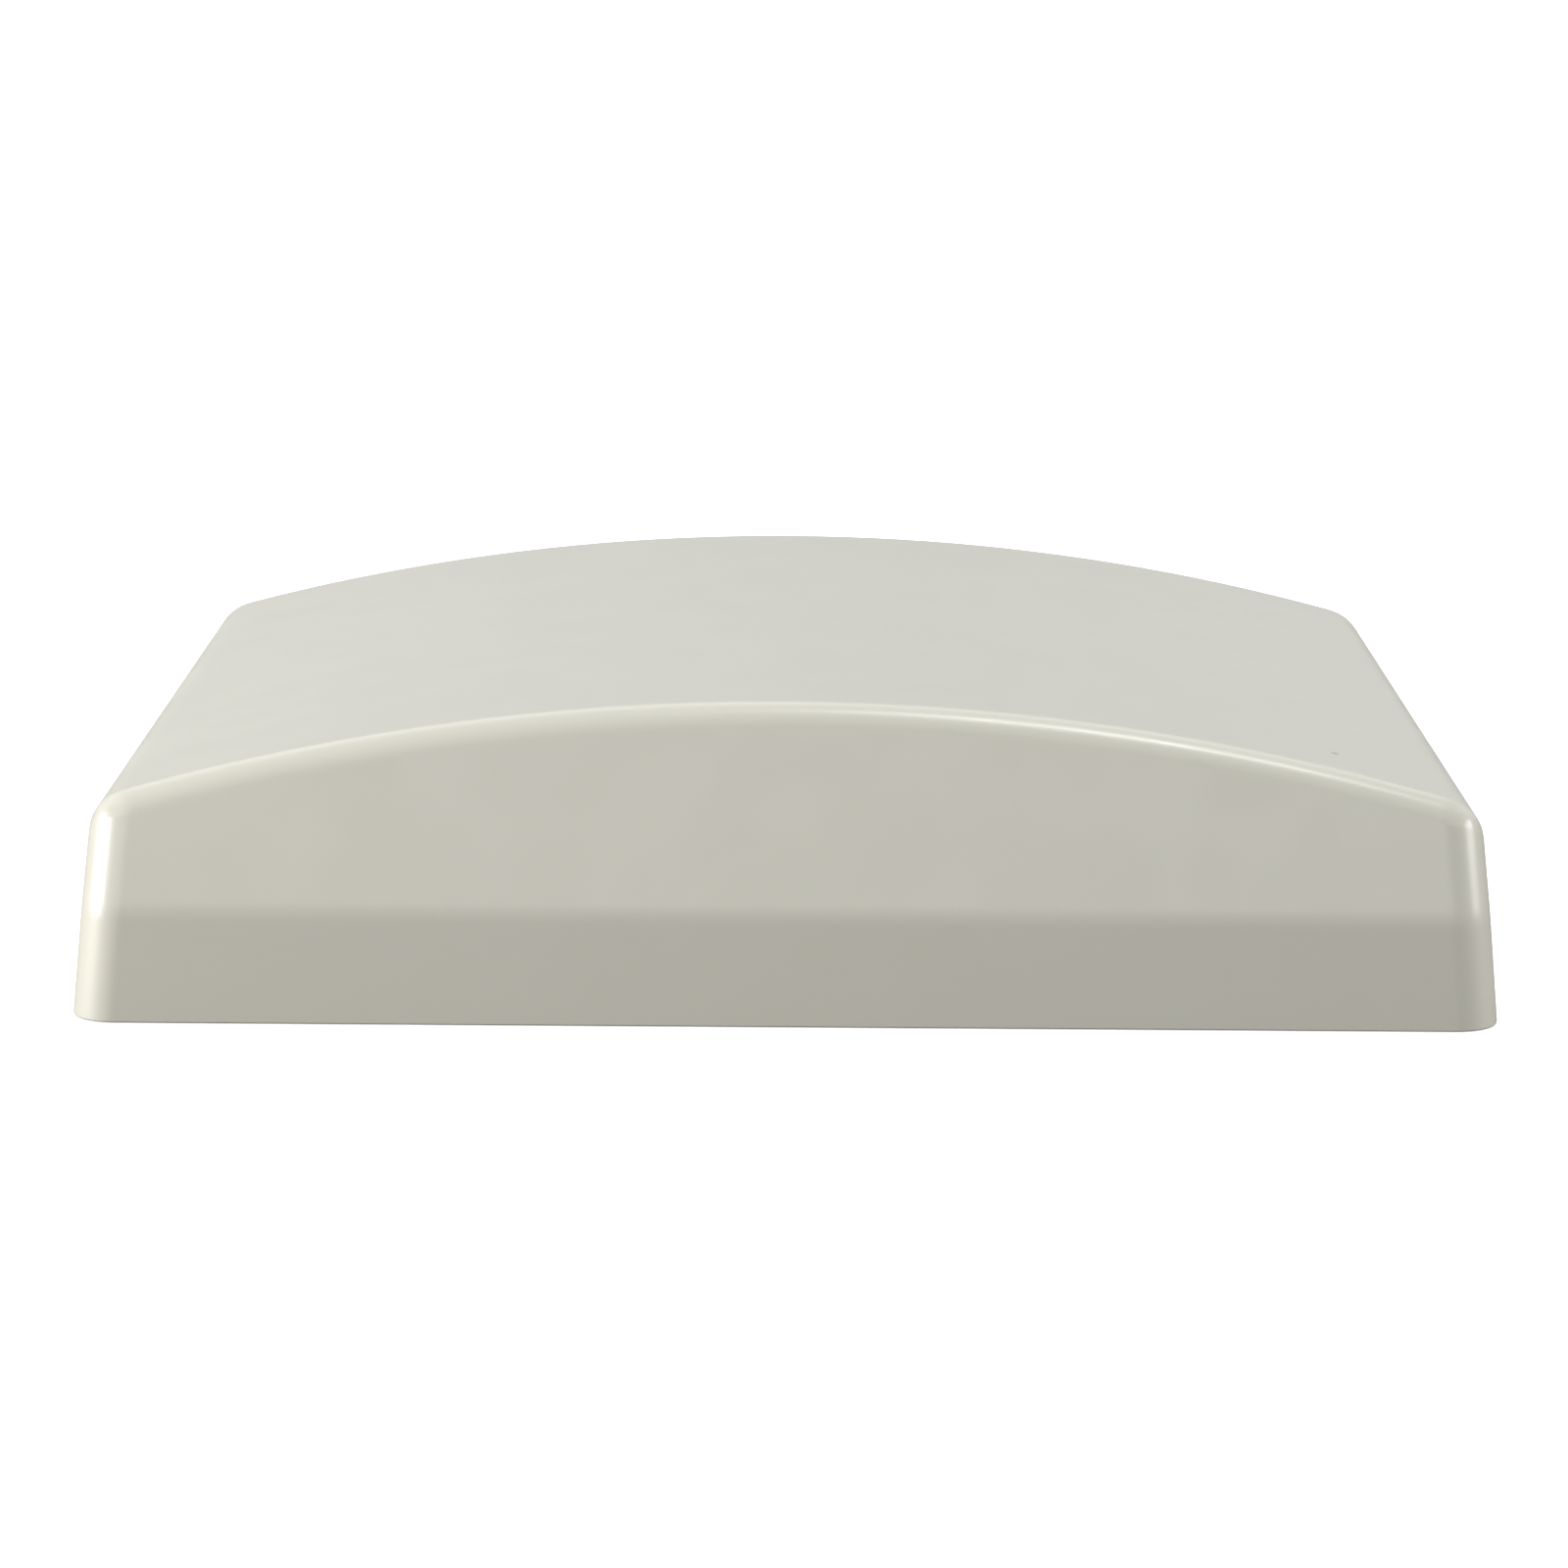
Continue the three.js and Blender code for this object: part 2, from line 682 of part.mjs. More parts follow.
function makeDirector() {
  const halfW = directorWidth / 2;
  const halfL = directorLength / 2;
  const points = corners.flatMap(([sx, sy]) => {
    const side = new THREE.Vector2(sx * halfW, sy * (halfL - directorCorner));
    const end = new THREE.Vector2(sx * (halfW - directorCorner), sy * halfL);
    return sx === sy ? [side, end] : [end, side];
  });
  return slab(columnHoles(new THREE.Shape(points)), directorBottom, directorTop);
}

function makeSpacer(length) {
  return ring(boltRadius + fitGap, spacerRadius, 0, length, smallSides);
}

// Pan-head bolt that points down, the underside of its head at the origin.
function makeDownwardBolt(radius, length, headRadius, headHeight) {
  const body = turned([
    [0, -length],
    [radius, -length],
    [radius, 0],
    [headRadius, 0],
    [headRadius, headHeight - headEase],
    [headRadius - headEase, headHeight],
    [0, headHeight],
  ], smallSides);
  return shaped(body, { cut: crossRecess(headRadius, headHeight - recessDepth, headHeight + cutPast) });
}

function makeHexNut(flats, height, boreRadius) {
  return shaped(hexPrism(flats, 0, height), { cut: [post(boreRadius, -cutPast, height + cutPast)] });
}

// ---------------------------------------------------------------- feed

// A round rod or cable along a smooth path.
function roundAlong(path, radius, sides, steps) {
  const section = new THREE.Shape();
  section.absarc(0, 0, radius, 0, 2 * Math.PI, false);
  const options = { steps, extrudePath: path, curveSegments: sides, bevelEnabled: false };
  return new THREE.ExtrudeGeometry(section, options);
}

function makeCoax() {
  const path = new THREE.CatmullRomCurve3([
    new THREE.Vector3(0, coaxStartY, jackHeight),
    new THREE.Vector3(0, coaxStartY - coaxStraight, jackHeight - coaxDip),
    new THREE.Vector3(0, saddleY + coaxStraight, coaxLow),
    new THREE.Vector3(0, saddleY, coaxLow),
    new THREE.Vector3(0, coaxEndY, coaxLow),
  ]);
  return roundAlong(path, coaxRadius, 5, 14);
}

// The jumper's inner conductor, turned up to the driven plate.
function makeFeedPin() {
  const path = new THREE.CurvePath();
  const elbow = new THREE.Vector3(0, feedY, coaxLow);
  const before = new THREE.Vector3(0, feedY + feedBend, coaxLow);
  const after = new THREE.Vector3(0, feedY, coaxLow + feedBend);
  path.add(new THREE.LineCurve3(new THREE.Vector3(0, coaxEndY - fitGap, coaxLow), before));
  path.add(new THREE.QuadraticBezierCurve3(before, elbow, after));
  path.add(new THREE.LineCurve3(after, new THREE.Vector3(0, feedY, drivenTop + feedPinStand)));
  return roundAlong(path, feedPinRadius, 4, 8);
}

// A brass strap that holds the jumper down on the tray.
function makeSaddle() {
  const inner = coaxRadius + fitGap;
  const outer = inner + saddleSheet;
  const foot = outer + saddleFoot;
  const floor = trayTop + fitGap - coaxLow;
  const shape = new THREE.Shape();
  shape.moveTo(-foot, floor);
  shape.lineTo(-inner, floor);
  shape.absarc(0, 0, inner, Math.PI, 0, true);
  shape.lineTo(inner, floor);
  shape.lineTo(foot, floor);
  shape.lineTo(foot, floor + saddleSheet);
  shape.lineTo(outer, floor + saddleSheet);
  shape.absarc(0, 0, outer, 0, Math.PI, false);
  shape.lineTo(-outer, floor + saddleSheet);
  shape.lineTo(-foot, floor + saddleSheet);
  const geometry = new THREE.ExtrudeGeometry(shape, {
    depth: saddleLength,
    curveSegments: 8,
    bevelEnabled: false,
  });
  geometry.rotateX(Math.PI / 2);
  return geometry.translate(0, saddleY + saddleLength / 2, coaxLow);
}

// ---------------------------------------------------------------- jack, along its own +Z

function makeJackBody() {
  const step = jackMouth - jackMouthDepth;
  const tube = turned([
    [insulatorBore, jackTail],
    [jackTailRadius, jackTail],
    [jackTailRadius, flangeBottom + lapDepth],
    [jackThreadRadius, flangeBottom + lapDepth],
    [jackThreadRadius, jackMouth - jackLead],
    [jackThreadRadius - jackLead, jackMouth],
    [jackMouthRadius, jackMouth],
    [jackMouthRadius, step],
    [insulatorBore, step],
    [insulatorBore, jackTail],
  ], fineSides);
  const flange = shaped(hexPrism(jackFlangeFlats, flangeBottom, flangeTop), {
    cut: [post(jackTailRadius - lapDepth, flangeBottom - cutPast, flangeTop + cutPast)],
  });
  return shaped(tube, { add: [flange] });
}

function makeInsulator() {
  return ring(jackContactRadius + fitGap, jackInsulatorRadius, jackTail + jackInsulatorInset, insulatorTop);
}

function makeContact() {
  const tip = insulatorTop + jackContactReach;
  const body = turned([
    [0, contactTail],
    [jackContactRadius - contactEase, contactTail],
    [jackContactRadius, contactTail + contactEase],
    [jackContactRadius, tip - contactEase],
    [jackContactRadius - contactEase, tip],
    [0, tip],
  ], smallSides);
  const bottom = tip - contactSocketDepth;
  const socket = post(contactSocketRadius, bottom, tip + cutPast, 0, 0, smallSides);
  const slit = slab(rectangle(contactSlit, 2 * (jackContactRadius + cutPast), 0), bottom, tip + cutPast);
  return shaped(body, { cut: [socket, slit] });
}

function makeSeal() {
  const seal = new THREE.TorusGeometry(sealRadius, sealSection, 6, fineSides);
  return seal.translate(0, 0, fitGap + sealSection);
}

function makeCap() {
  const open = flangeTop + fitGap;
  const inner = jackThreadRadius + fitGap;
  const outer = inner + capWall;
  const roof = jackMouth + fitGap;
  const end = roof + capWall;
  const shell = turned([
    [inner, open],
    [outer + capGripRadius, open],
    [outer + capGripRadius, open + capCollar],
    [outer, open + capCollar + capGripRadius],
    [outer, end - capChamfer],
    [outer - capChamfer, end],
    [0, end],
    [0, roof],
    [inner, roof],
    [inner, open],
  ], fineSides);
  const add = [];
  for (let grip = 0; grip < capGripCount; grip += 1) {
    const angle = (grip / capGripCount) * 2 * Math.PI;
    const x = outer * Math.cos(angle);
    const y = outer * Math.sin(angle);
    add.push(post(capGripRadius, open + capCollar - rootDepth, end - 2 * capChamfer, x, y, 6));
  }
  return shaped(shell, { add });
}

// ---------------------------------------------------------------- assembly

const antenna = new THREE.Group();

function place(parent, name, geometry, look, x = 0, y = 0, z = 0) {
  const mesh = new THREE.Mesh(geometry, new THREE.MeshStandardMaterial(look));
  mesh.name = name;
  mesh.position.set(x, y, z);
  parent.add(mesh);
  return mesh;
}

function placeEach(name, geometry, look, spots, z) {
  spots.forEach(([x, y], index) => {
    place(antenna, `${name}_${index + 1}`, geometry, look, x, y, z);
  });
}

place(antenna, 'radome', makeRadome(), offWhite);
place(antenna, 'back_plate', makeBackPlate(), offWhite);
place(antenna, 'rim_gasket', makeGasket(), silicone);
placeEach('cover_screw', makeCoverScrew(), stainless, coverScrewSpots, coverHeadSink);
placeEach('bracket_insert', makeInsert(), brass, insertSpots, fitGap);
place(antenna, 'vent_plug', makeVent(), ventBlack, 0, ventInset - rimLength / 2, 0);
const labelShape = rectangle(labelWidth, labelLength, labelCorner);
const labelY = rimLength / 2 - labelInset;
place(antenna, 'rating_label', slab(labelShape, fitGap, fitGap + labelThickness), labelFilm, 0, labelY);

place(antenna, 'reflector_tray', makeTray(), aluminium);
const trayScrew = makeDownwardBolt(trayScrewRadius, trayScrewLength, trayHeadRadius, trayHeadHeight);
placeEach('tray_screw', trayScrew, stainless, traySpots, trayTop + fitGap);
place(antenna, 'driven_element', makeDriven(), brass);
place(antenna, 'director_element', makeDirector(), aluminium);
placeEach('lower_spacer', makeSpacer(lowerSpacing), nylon, columnSpots, lowerSpacerBottom);
placeEach('upper_spacer', makeSpacer(upperSpacing), nylon, columnSpots, upperSpacerBottom);
const boltLength = boltHeadBottom - boltEnd;
const elementBolt = makeDownwardBolt(boltRadius, boltLength, boltHeadRadius, boltHeadHeight);
placeEach('element_bolt', elementBolt, nylon, columnSpots, boltHeadBottom);
const elementNut = makeHexNut(nutFlats, nutHeight, boltRadius + fitGap);
placeEach('element_nut', elementNut, nylon, columnSpots, nutBottom);

place(antenna, 'coax_jumper', makeCoax(), jacketTan);
place(antenna, 'coax_saddle', makeSaddle(), brass);
place(antenna, 'feed_pin', makeFeedPin(), gold);

// The jack's own +Z points out of the antenna's +Y end.
const jack = new THREE.Group();
jack.rotation.x = -Math.PI / 2;
jack.position.set(0, padFaceY, jackHeight);
antenna.add(jack);
const washerTop = -jackPadDepth - fitGap;
const nutTop = washerTop - washerThickness - fitGap;
place(jack, 'jack_body', makeJackBody(), nickel);
place(jack, 'jack_insulator', makeInsulator(), ptfe);
place(jack, 'jack_contact', makeContact(), gold);
place(jack, 'jack_seal', makeSeal(), silicone);
const washer = ring(tailHole, washerRadius, washerTop - washerThickness, washerTop, fineSides);
place(jack, 'jack_washer', washer, stainless);
const jackNut = makeHexNut(jackNutFlats, jackNutThickness, tailHole);
place(jack, 'jack_nut', jackNut, nickel, 0, 0, nutTop - jackNutThickness);
place(jack, 'jack_cap', makeCap(), capBlack);

export default antenna;
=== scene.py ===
"""Flat panel antenna: the finished look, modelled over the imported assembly."""

import math

import bmesh
import bpy
from bpy.props import FloatProperty, FloatVectorProperty, IntProperty, PointerProperty
from bpy.types import Operator, Panel, PropertyGroup
from mathutils import Matrix, Vector


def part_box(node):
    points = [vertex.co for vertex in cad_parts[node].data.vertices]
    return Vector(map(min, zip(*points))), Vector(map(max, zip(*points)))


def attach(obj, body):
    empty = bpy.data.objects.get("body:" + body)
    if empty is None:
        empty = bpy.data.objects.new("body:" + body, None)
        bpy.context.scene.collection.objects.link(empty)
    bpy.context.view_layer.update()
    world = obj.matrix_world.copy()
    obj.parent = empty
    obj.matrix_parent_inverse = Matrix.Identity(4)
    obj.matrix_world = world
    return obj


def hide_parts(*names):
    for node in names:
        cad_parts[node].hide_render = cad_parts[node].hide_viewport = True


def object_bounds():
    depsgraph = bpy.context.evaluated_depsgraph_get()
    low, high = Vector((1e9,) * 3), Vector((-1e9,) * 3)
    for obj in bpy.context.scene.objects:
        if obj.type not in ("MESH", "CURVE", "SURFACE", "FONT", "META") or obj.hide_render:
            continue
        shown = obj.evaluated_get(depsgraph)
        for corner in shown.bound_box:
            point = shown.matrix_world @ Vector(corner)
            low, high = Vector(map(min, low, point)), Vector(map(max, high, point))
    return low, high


bl_info = {
    "name": "Panel Antenna",
    "version": (1, 0, 0),
    "blender": (4, 5, 0),
    "location": "View3D > Sidebar > Antenna",
    "description": "Models a flat panel antenna piece by piece, with its finishes and studio",
    "category": "Object",
}

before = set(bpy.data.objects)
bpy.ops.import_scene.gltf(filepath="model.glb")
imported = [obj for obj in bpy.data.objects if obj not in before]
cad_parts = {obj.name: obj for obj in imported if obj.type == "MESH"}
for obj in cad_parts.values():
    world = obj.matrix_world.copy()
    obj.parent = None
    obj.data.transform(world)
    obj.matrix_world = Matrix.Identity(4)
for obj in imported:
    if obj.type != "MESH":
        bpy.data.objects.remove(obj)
CAD_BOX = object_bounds()

MM = 0.001
X = Vector((1, 0, 0))
Y = Vector((0, 1, 0))
Z = Vector((0, 0, 1))


# ---------------------------------------------------------------- places in the assembly


def middle(node):
    low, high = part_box(node)
    return (low + high) / 2


def span(node):
    low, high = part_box(node)
    return high - low


def standing(node):
    """Foot, top and height in millimetres of a piece that stands on its own axis."""
    low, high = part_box(node)
    at = middle(node)
    return Vector((at.x, at.y, low.z)), Vector((at.x, at.y, high.z)), (high.z - low.z) / MM


def on_jack(node):
    """Where a piece on the jack's axis starts, and its length in millimetres."""
    low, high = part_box(node)
    return JACK_AXIS + Y * low.y, (high.y - low.y) / MM


RADOME_LOW, RADOME_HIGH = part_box("radome")
PLATE_LOW, PLATE_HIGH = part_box("back_plate")
TRAY_LOW, TRAY_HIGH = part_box("reflector_tray")
JACK_AXIS = Vector((0, 0, middle("jack_body").z))
COVER_SCREWS = [f"cover_screw_{n}" for n in range(1, 7)]
TRAY_SCREWS = [f"tray_screw_{n}" for n in range(1, 5)]
INSERTS = [f"bracket_insert_{n}" for n in range(1, 5)]
COLUMNS = [f"element_bolt_{n}" for n in range(1, 5)]
CUT_PAST = 1 * MM  # how far a cut runs past the face it leaves through
CLOSE = 1e-6  # two heights nearer than this are the same


# ---------------------------------------------------------------- sizes and colours


def length(name, description, default):
    return FloatProperty(
        name=name,
        description=description,
        default=default,
        min=0.0,
        precision=5,
        unit="LENGTH",
        subtype="DISTANCE",
    )


def angle(name, description, degrees):
    return FloatProperty(
        name=name,
        description=description,
        default=math.radians(degrees),
        unit="ROTATION",
        subtype="ANGLE",
    )


def colour(name, description, default):
    return FloatVectorProperty(
        name=name,
        description=description,
        default=default,
        size=3,
        min=0.0,
        max=1.0,
        subtype="COLOR",
    )


def power(name, description, default):
    return FloatProperty(
        name=name,
        description=description,
        default=default,
        min=0.0,
        unit="POWER",
        subtype="POWER",
    )


def fraction(name, description, default):
    return FloatProperty(
        name=name,
        description=description,
        default=default,
        min=0.0,
        max=1.0,
        subtype="FACTOR",
    )


class RadomeSizes(PropertyGroup):
    rim_width: length("Rim width", "Across the open back, along X", RADOME_HIGH.x - RADOME_LOW.x)
    rim_length: length("Rim length", "Along the open back, along Y", -2 * RADOME_LOW.y)
    crown_height: length("Crown height", "Back face to the top of the arch", RADOME_HIGH.z)
    eave_height: length("Eave height", "Back face to where side wall and roof would meet", 31.9 * MM)
    crease_height: length("Crease height", "Where the end walls lean further in", 16.5 * MM)
    crease_blend: length("Crease softness", "Half the height of the softened crease", 1.6 * MM)
    side_draft: angle("Side draft", "Lean of the side walls", 5.2)
    lower_end_draft: angle("Lower end draft", "Lean of the end walls below the crease", 2.6)
    upper_end_draft: angle("Upper end draft", "Lean of the end walls above the crease", 12.3)
    corner_radius: length("Corner radius", "Upright corners, in plan", 6.7 * MM)
    eave_radius: length("Eave radius", "Side wall to roof", 7 * MM)
    brim_radius: length("Brim radius", "End wall to roof", 4.5 * MM)
    rim_radius: length("Rim rounding", "Edge round the open back", 0.35 * MM)
    skin: length("Skin", "Wall and roof thickness", 2.6 * MM)
    ledge_width: length("Ledge width", "Ledge that the gasket seals against", 3 * MM)
    ledge_bottom: length("Ledge bottom", "Back face to the ledge", 5.5 * MM)
    ledge_top: length("Ledge top", "Back face to the top of the ledge", 8 * MM)
    boss_radius: length("Screw boss radius", "Posts for the cover screws", 4.5 * MM)
    boss_bottom: length("Screw boss bottom", "Back face to the posts", 6.3 * MM)
    pilot_radius: length("Pilot radius", "Holes that the cover screws bite into", 2.25 * MM)
    pilot_depth: length("Pilot depth", "Back face to the end of the screw holes", 19.7 * MM)
    pad_radius: length("Jack pad radius", "Round pad that the jack is screwed to", 12 * MM)
    pad_edge: length("Jack pad edge", "Rounding round the pad", 0.5 * MM)
    jack_hole_radius: length("Jack hole radius", "Hole that the jack goes through", 8.1 * MM)


class BackSizes(PropertyGroup):
    thickness: length("Plate thickness", "Back plate", 3.5 * MM)
    inset: length("Plate inset", "Rim edge to the edge of the plate", 2.9 * MM)
    edge: length("Edge rounding", "Moulded edges of the back", 0.3 * MM)
    screw_pad_radius: length("Screw pad radius", "Pads under the cover screws", 5.5 * MM)
    screw_pad_height: length("Screw pad height", "Above the plate", 2.5 * MM)
    screw_hole_radius: length("Screw hole radius", "Clearance for the cover screws", 2.25 * MM)
    boss_wall: length("Insert boss wall", "Plastic round a brass insert", 2.2 * MM)
    boss_roof: length("Insert boss roof", "Plastic over a brass insert", 1.6 * MM)
    pillar_radius: length("Pillar radius", "Pillars that carry the tray", 4 * MM)
    rib_width: length("Rib width", "Ribs between the insert bosses", 1.8 * MM)
    rib_height: length("Rib height", "Above the plate", 4 * MM)
    tray_pilot_radius: length("Tray pilot radius", "Holes that the tray screws bite into", 1.75 * MM)
    vent_hole_radius: length("Vent hole radius", "Hole that the breather snaps into", 3.3 * MM)
    vent_seat_depth: length("Vent seat depth", "Recess for the breather's head", 1.7 * MM)
    label_seat_depth: length("Label seat depth", "Recess for the label", 0.9 * MM)
    gasket_width: length("Gasket width", "Seal between plate and radome", 2.2 * MM)
    label_corner: length("Label corner", "Corner radius of the label", 1.7 * MM)
    clearance: length("Clearance", "Gap between two pieces that touch", 0.3 * MM)
    thread_pitch: length("Screw pitch", "Thread of the cover screws", 1.4 * MM)


class ElementSizes(PropertyGroup):
    tray_sheet: length("Tray sheet", "Sheet of the reflector tray", 1.5 * MM)
    tray_corner: length("Tray corner", "Corner radius of the tray", 3 * MM)
    bend_radius: length("Bend radius", "Inside of the tray's lip", 0.8 * MM)
    slot_offset: length("Slot offset", "Middle of the plate to a slot", 14 * MM)
    slot_width: length("Slot width", "Slots in the driven plate", 5 * MM)
    slot_length: length("Slot length", "Slots in the driven plate", 50 * MM)
    director_corner: length("Director corner", "Corners cut off the director", 9 * MM)
    hole_radius: length("Bolt hole radius", "Holes for the nylon bolts", 1.8 * MM)
    screw_hole_radius: length("Screw hole radius", "Holes for the tray screws", 1.75 * MM)
    pin_hole_radius: length("Pin hole radius", "Hole for the feed pin", 0.9 * MM)
    sheet_edge: length("Sheet edge", "Rounding along the edges of the two plates", 0.12 * MM)
    coax_radius: length("Jumper radius", "Over the jacket", 1.8 * MM)
    pin_radius: length("Feed pin radius", "Inner conductor", 0.6 * MM)
    strap_sheet: length("Strap sheet", "Saddle that holds the jumper", 0.8 * MM)
    bolt_pitch: length("Bolt pitch", "Thread of the nylon bolts", 0.5 * MM)


class JackSizes(PropertyGroup):
    tail_radius: length("Tail radius", "Body behind the flange", 7.8 * MM)
    thread_radius: length("Thread radius", "Crest of the coupling thread", 7.9 * MM)
    thread_pitch: length("Thread pitch", "Coupling thread", 1.058 * MM)
    thread_depth: length("Thread depth", "Crest to root", 0.55 * MM)
    flange_thickness: length("Flange thickness", "Hexagonal flange", 3.2 * MM)
    mouth_radius: length("Mouth radius", "Inside of the open end", 4.2 * MM)
    mouth_depth: length("Mouth depth", "Open end to the step", 9 * MM)
    bore_radius: length("Bore radius", "Seat of the insulator", 3.6 * MM)
    cap_wall: length("Cap wall", "Dust cap", 1.5 * MM)
    cap_grip: length("Grip radius", "Ribs round the dust cap", 0.5 * MM)
    cap_grips: IntProperty(name="Grips", description="Ribs round the dust cap", default=12, min=3)


class FinishColours(PropertyGroup):
    housing: colour("Housing", "Moulded radome and back plate", (0.60, 0.576, 0.490))
    housing_dark: colour("Housing, low", "Darker drift in the moulding", (0.592, 0.568, 0.481))
    silicone: colour("Silicone", "Gasket and jack seal", (0.25, 0.265, 0.26))
    steel: colour("Stainless steel", "Screws and washer", (0.56, 0.57, 0.585))
    brass: colour("Brass", "Inserts, driven plate and strap", (0.71, 0.52, 0.215))
    gold: colour("Gold plate", "Contact and feed pin", (0.83, 0.60, 0.22))
    nickel: colour("Nickel plate", "Jack body and nut", (0.62, 0.60, 0.555))
    aluminium: colour("Aluminium", "Tray and director", (0.66, 0.68, 0.70))
    nylon: colour("Nylon", "Spacers, bolts and nuts", (0.80, 0.79, 0.70))
    ptfe: colour("Insulator", "White insulator of the jack", (0.86, 0.86, 0.84))
    jacket: colour("Jumper jacket", "Tan jacket of the jumper", (0.30, 0.135, 0.05))
    vent: colour("Vent", "Breather in the back", (0.022, 0.024, 0.026))
    label: colour("Label film", "Blank label", (0.60, 0.62, 0.63))
    cap: colour("Dust cap", "Soft black plastic", (0.018, 0.018, 0.02))


class StudioSettings(PropertyGroup):
    floor: colour("Floor", "Pale floor", (0.87, 0.87, 0.87))
    bounce: fraction("Bounce", "Share of the floor's light that lands on the antenna", 0.15)
    glow: fraction("Floor glow", "Keeps the floor pale far away", 0.6)
    room: colour("Room", "Tone of the even light", (0.885, 0.935, 1.0))
    sky: fraction("Room light", "Even light", 0.55)
    left: power("Left light", "Soft box standing at the left", 12.5)
    right: power("Right light", "Soft box standing at the right", 21.0)
    behind: power("Back light", "Large soft light, high behind", 9.5)
    card: power("Front card", "Low card that the end wall mirrors", 6.0)
    strip: power("Strip light", "Narrow light overhead that draws the brim", 5.5)
    lens: FloatProperty(name="Focal length", description="On a 36 mm sensor", default=112.71, unit="CAMERA")
    distance: length("Camera distance", "Camera to the point it looks at", 802.35 * MM)
    aim_x: FloatProperty(name="Aim X", description="Point looked at", default=-0.592 * MM, unit="LENGTH")
    aim_z: FloatProperty(name="Aim Z", description="Point looked at", default=17.812 * MM, unit="LENGTH")
    azimuth: angle("Azimuth", "Camera round the antenna", 0.153)
    pitch: angle("Pitch", "Camera above the antenna", 11.654)
    roll: angle("Roll", "Camera about its own axis", 0.36)


# ---------------------------------------------------------------- modelling by operator


def clear_selection():
    if bpy.context.mode != "OBJECT":
        bpy.ops.object.mode_set(mode="OBJECT")
    bpy.ops.object.select_all(action="DESELECT")


def choose(*pieces):
    """Only these are selected, the first of them active."""
    clear_selection()
    for piece in pieces:
        piece.select_set(True)
    bpy.context.view_layer.objects.active = pieces[0]


def started(name, add, **where):
    """A new primitive under its own name."""
    clear_selection()
    add(**where)
    piece = bpy.context.object
    piece.name = name
    piece.data.name = name
    bpy.ops.object.transform_apply(location=True, rotation=True, scale=True)
    return piece


def pick(piece, kind, wanted):
    """In edit mode, selects just the vertices, edges or faces that pass a test."""
    choose(piece)
    bpy.ops.object.mode_set(mode="EDIT")
    bpy.ops.mesh.select_mode(type=kind)
    bpy.ops.mesh.select_all(action="DESELECT")
    mesh = bmesh.from_edit_mesh(piece.data)
    mesh.normal_update()
    parts = {"VERT": mesh.verts, "EDGE": mesh.edges, "FACE": mesh.faces}[kind]
    for part in parts:
        if wanted(part):
            part.select_set(True)
    mesh.select_flush_mode()
    bmesh.update_edit_mesh(piece.data)


def pick_all(piece):
    choose(piece)
    bpy.ops.object.mode_set(mode="EDIT")
    bpy.ops.mesh.select_mode(type="VERT")
    bpy.ops.mesh.select_all(action="SELECT")


def done():
    bpy.ops.object.mode_set(mode="OBJECT")


def tidy(piece, gap=0.001 * MM):
    """Doubles merged, normals turned out."""
    pick_all(piece)
    bpy.ops.mesh.remove_doubles(threshold=gap)
    bpy.ops.mesh.normals_make_consistent(inside=False)
    done()
    return piece


def pick_foot(piece, height):
    """Selects the edges round the lowest face."""
    pick(piece, "EDGE", lambda e: all(v.co.z < height + CLOSE for v in e.verts)
         and any(f.normal.z > -0.5 for f in e.link_faces))


def bevel_picked(width, segments):
    """Rounds or cuts back the picked edges, and leaves edit mode."""
    bpy.ops.mesh.bevel(offset=width, segments=segments, offset_type="OFFSET")
    done()


def extrude_by(step):
    bpy.ops.mesh.extrude_region_move(TRANSFORM_OT_translate={"value": tuple(step)})


def modify(piece, kind, **settings):
    """One modifier, set and applied."""
    choose(piece)
    bpy.ops.object.modifier_add(type=kind)
    modifier = piece.modifiers[-1]
    for key, value in settings.items():
        setattr(modifier, key, value)
    bpy.ops.object.modifier_apply(modifier=modifier.name)
    return piece


def combine(piece, tool, operation):
    """Joins, cuts or trims a piece with a tool, which is used up."""
    modify(piece, "BOOLEAN", operation=operation, solver="EXACT", object=tool)
    bpy.data.objects.remove(tool)
    return piece


def united(pieces):
    """Several separate forms as one mesh."""
    choose(*pieces)
    bpy.ops.object.join()
    return pieces[0]


def rounded(piece, width, segments=2, limit=35):
    """Every edge sharper than the limit is rounded."""
    return modify(
        piece,
        "BEVEL",
        width=width,
        segments=segments,
        limit_method="ANGLE",
        angle_limit=math.radians(limit),
        use_clamp_overlap=True,
    )


def smoothed(piece, limit=32):
    """Smooth shading that keeps flat faces flat."""
    choose(piece)
    bpy.ops.object.shade_smooth_by_angle(angle=math.radians(limit))
    return modify(piece, "WEIGHTED_NORMAL", keep_sharp=True, weight=60)


def again(piece, name, step):
    """A copy of a piece with its own mesh, moved by a step."""
    choose(piece)
    bpy.ops.object.duplicate(linked=False)
    copy = bpy.context.object
    copy.name = name
    copy.data.name = name
    bpy.ops.transform.translate(value=tuple(step))
    bpy.ops.object.transform_apply(location=True, rotation=True, scale=True)
    return copy


def block(name, low, high):
    """A rectangular block between two corners."""
    low, high = Vector(low), Vector(high)
    size = high - low
    place = (low + high) / 2
    return started(
        name, bpy.ops.mesh.primitive_cube_add, size=1, location=tuple(place), scale=tuple(size)
    )


def rounded_block(name, width, long, radius, bottom, top, place=(0, 0)):
    """A block with rounded upright corners."""
    piece = block(
        name,
        (place[0] - width / 2, place[1] - long / 2, bottom),
        (place[0] + width / 2, place[1] + long / 2, top),
    )
    pick(piece, "EDGE", lambda e: abs(e.verts[0].co.z - e.verts[1].co.z) > (top - bottom) / 2)
    bevel_picked(radius, 8)
    return piece


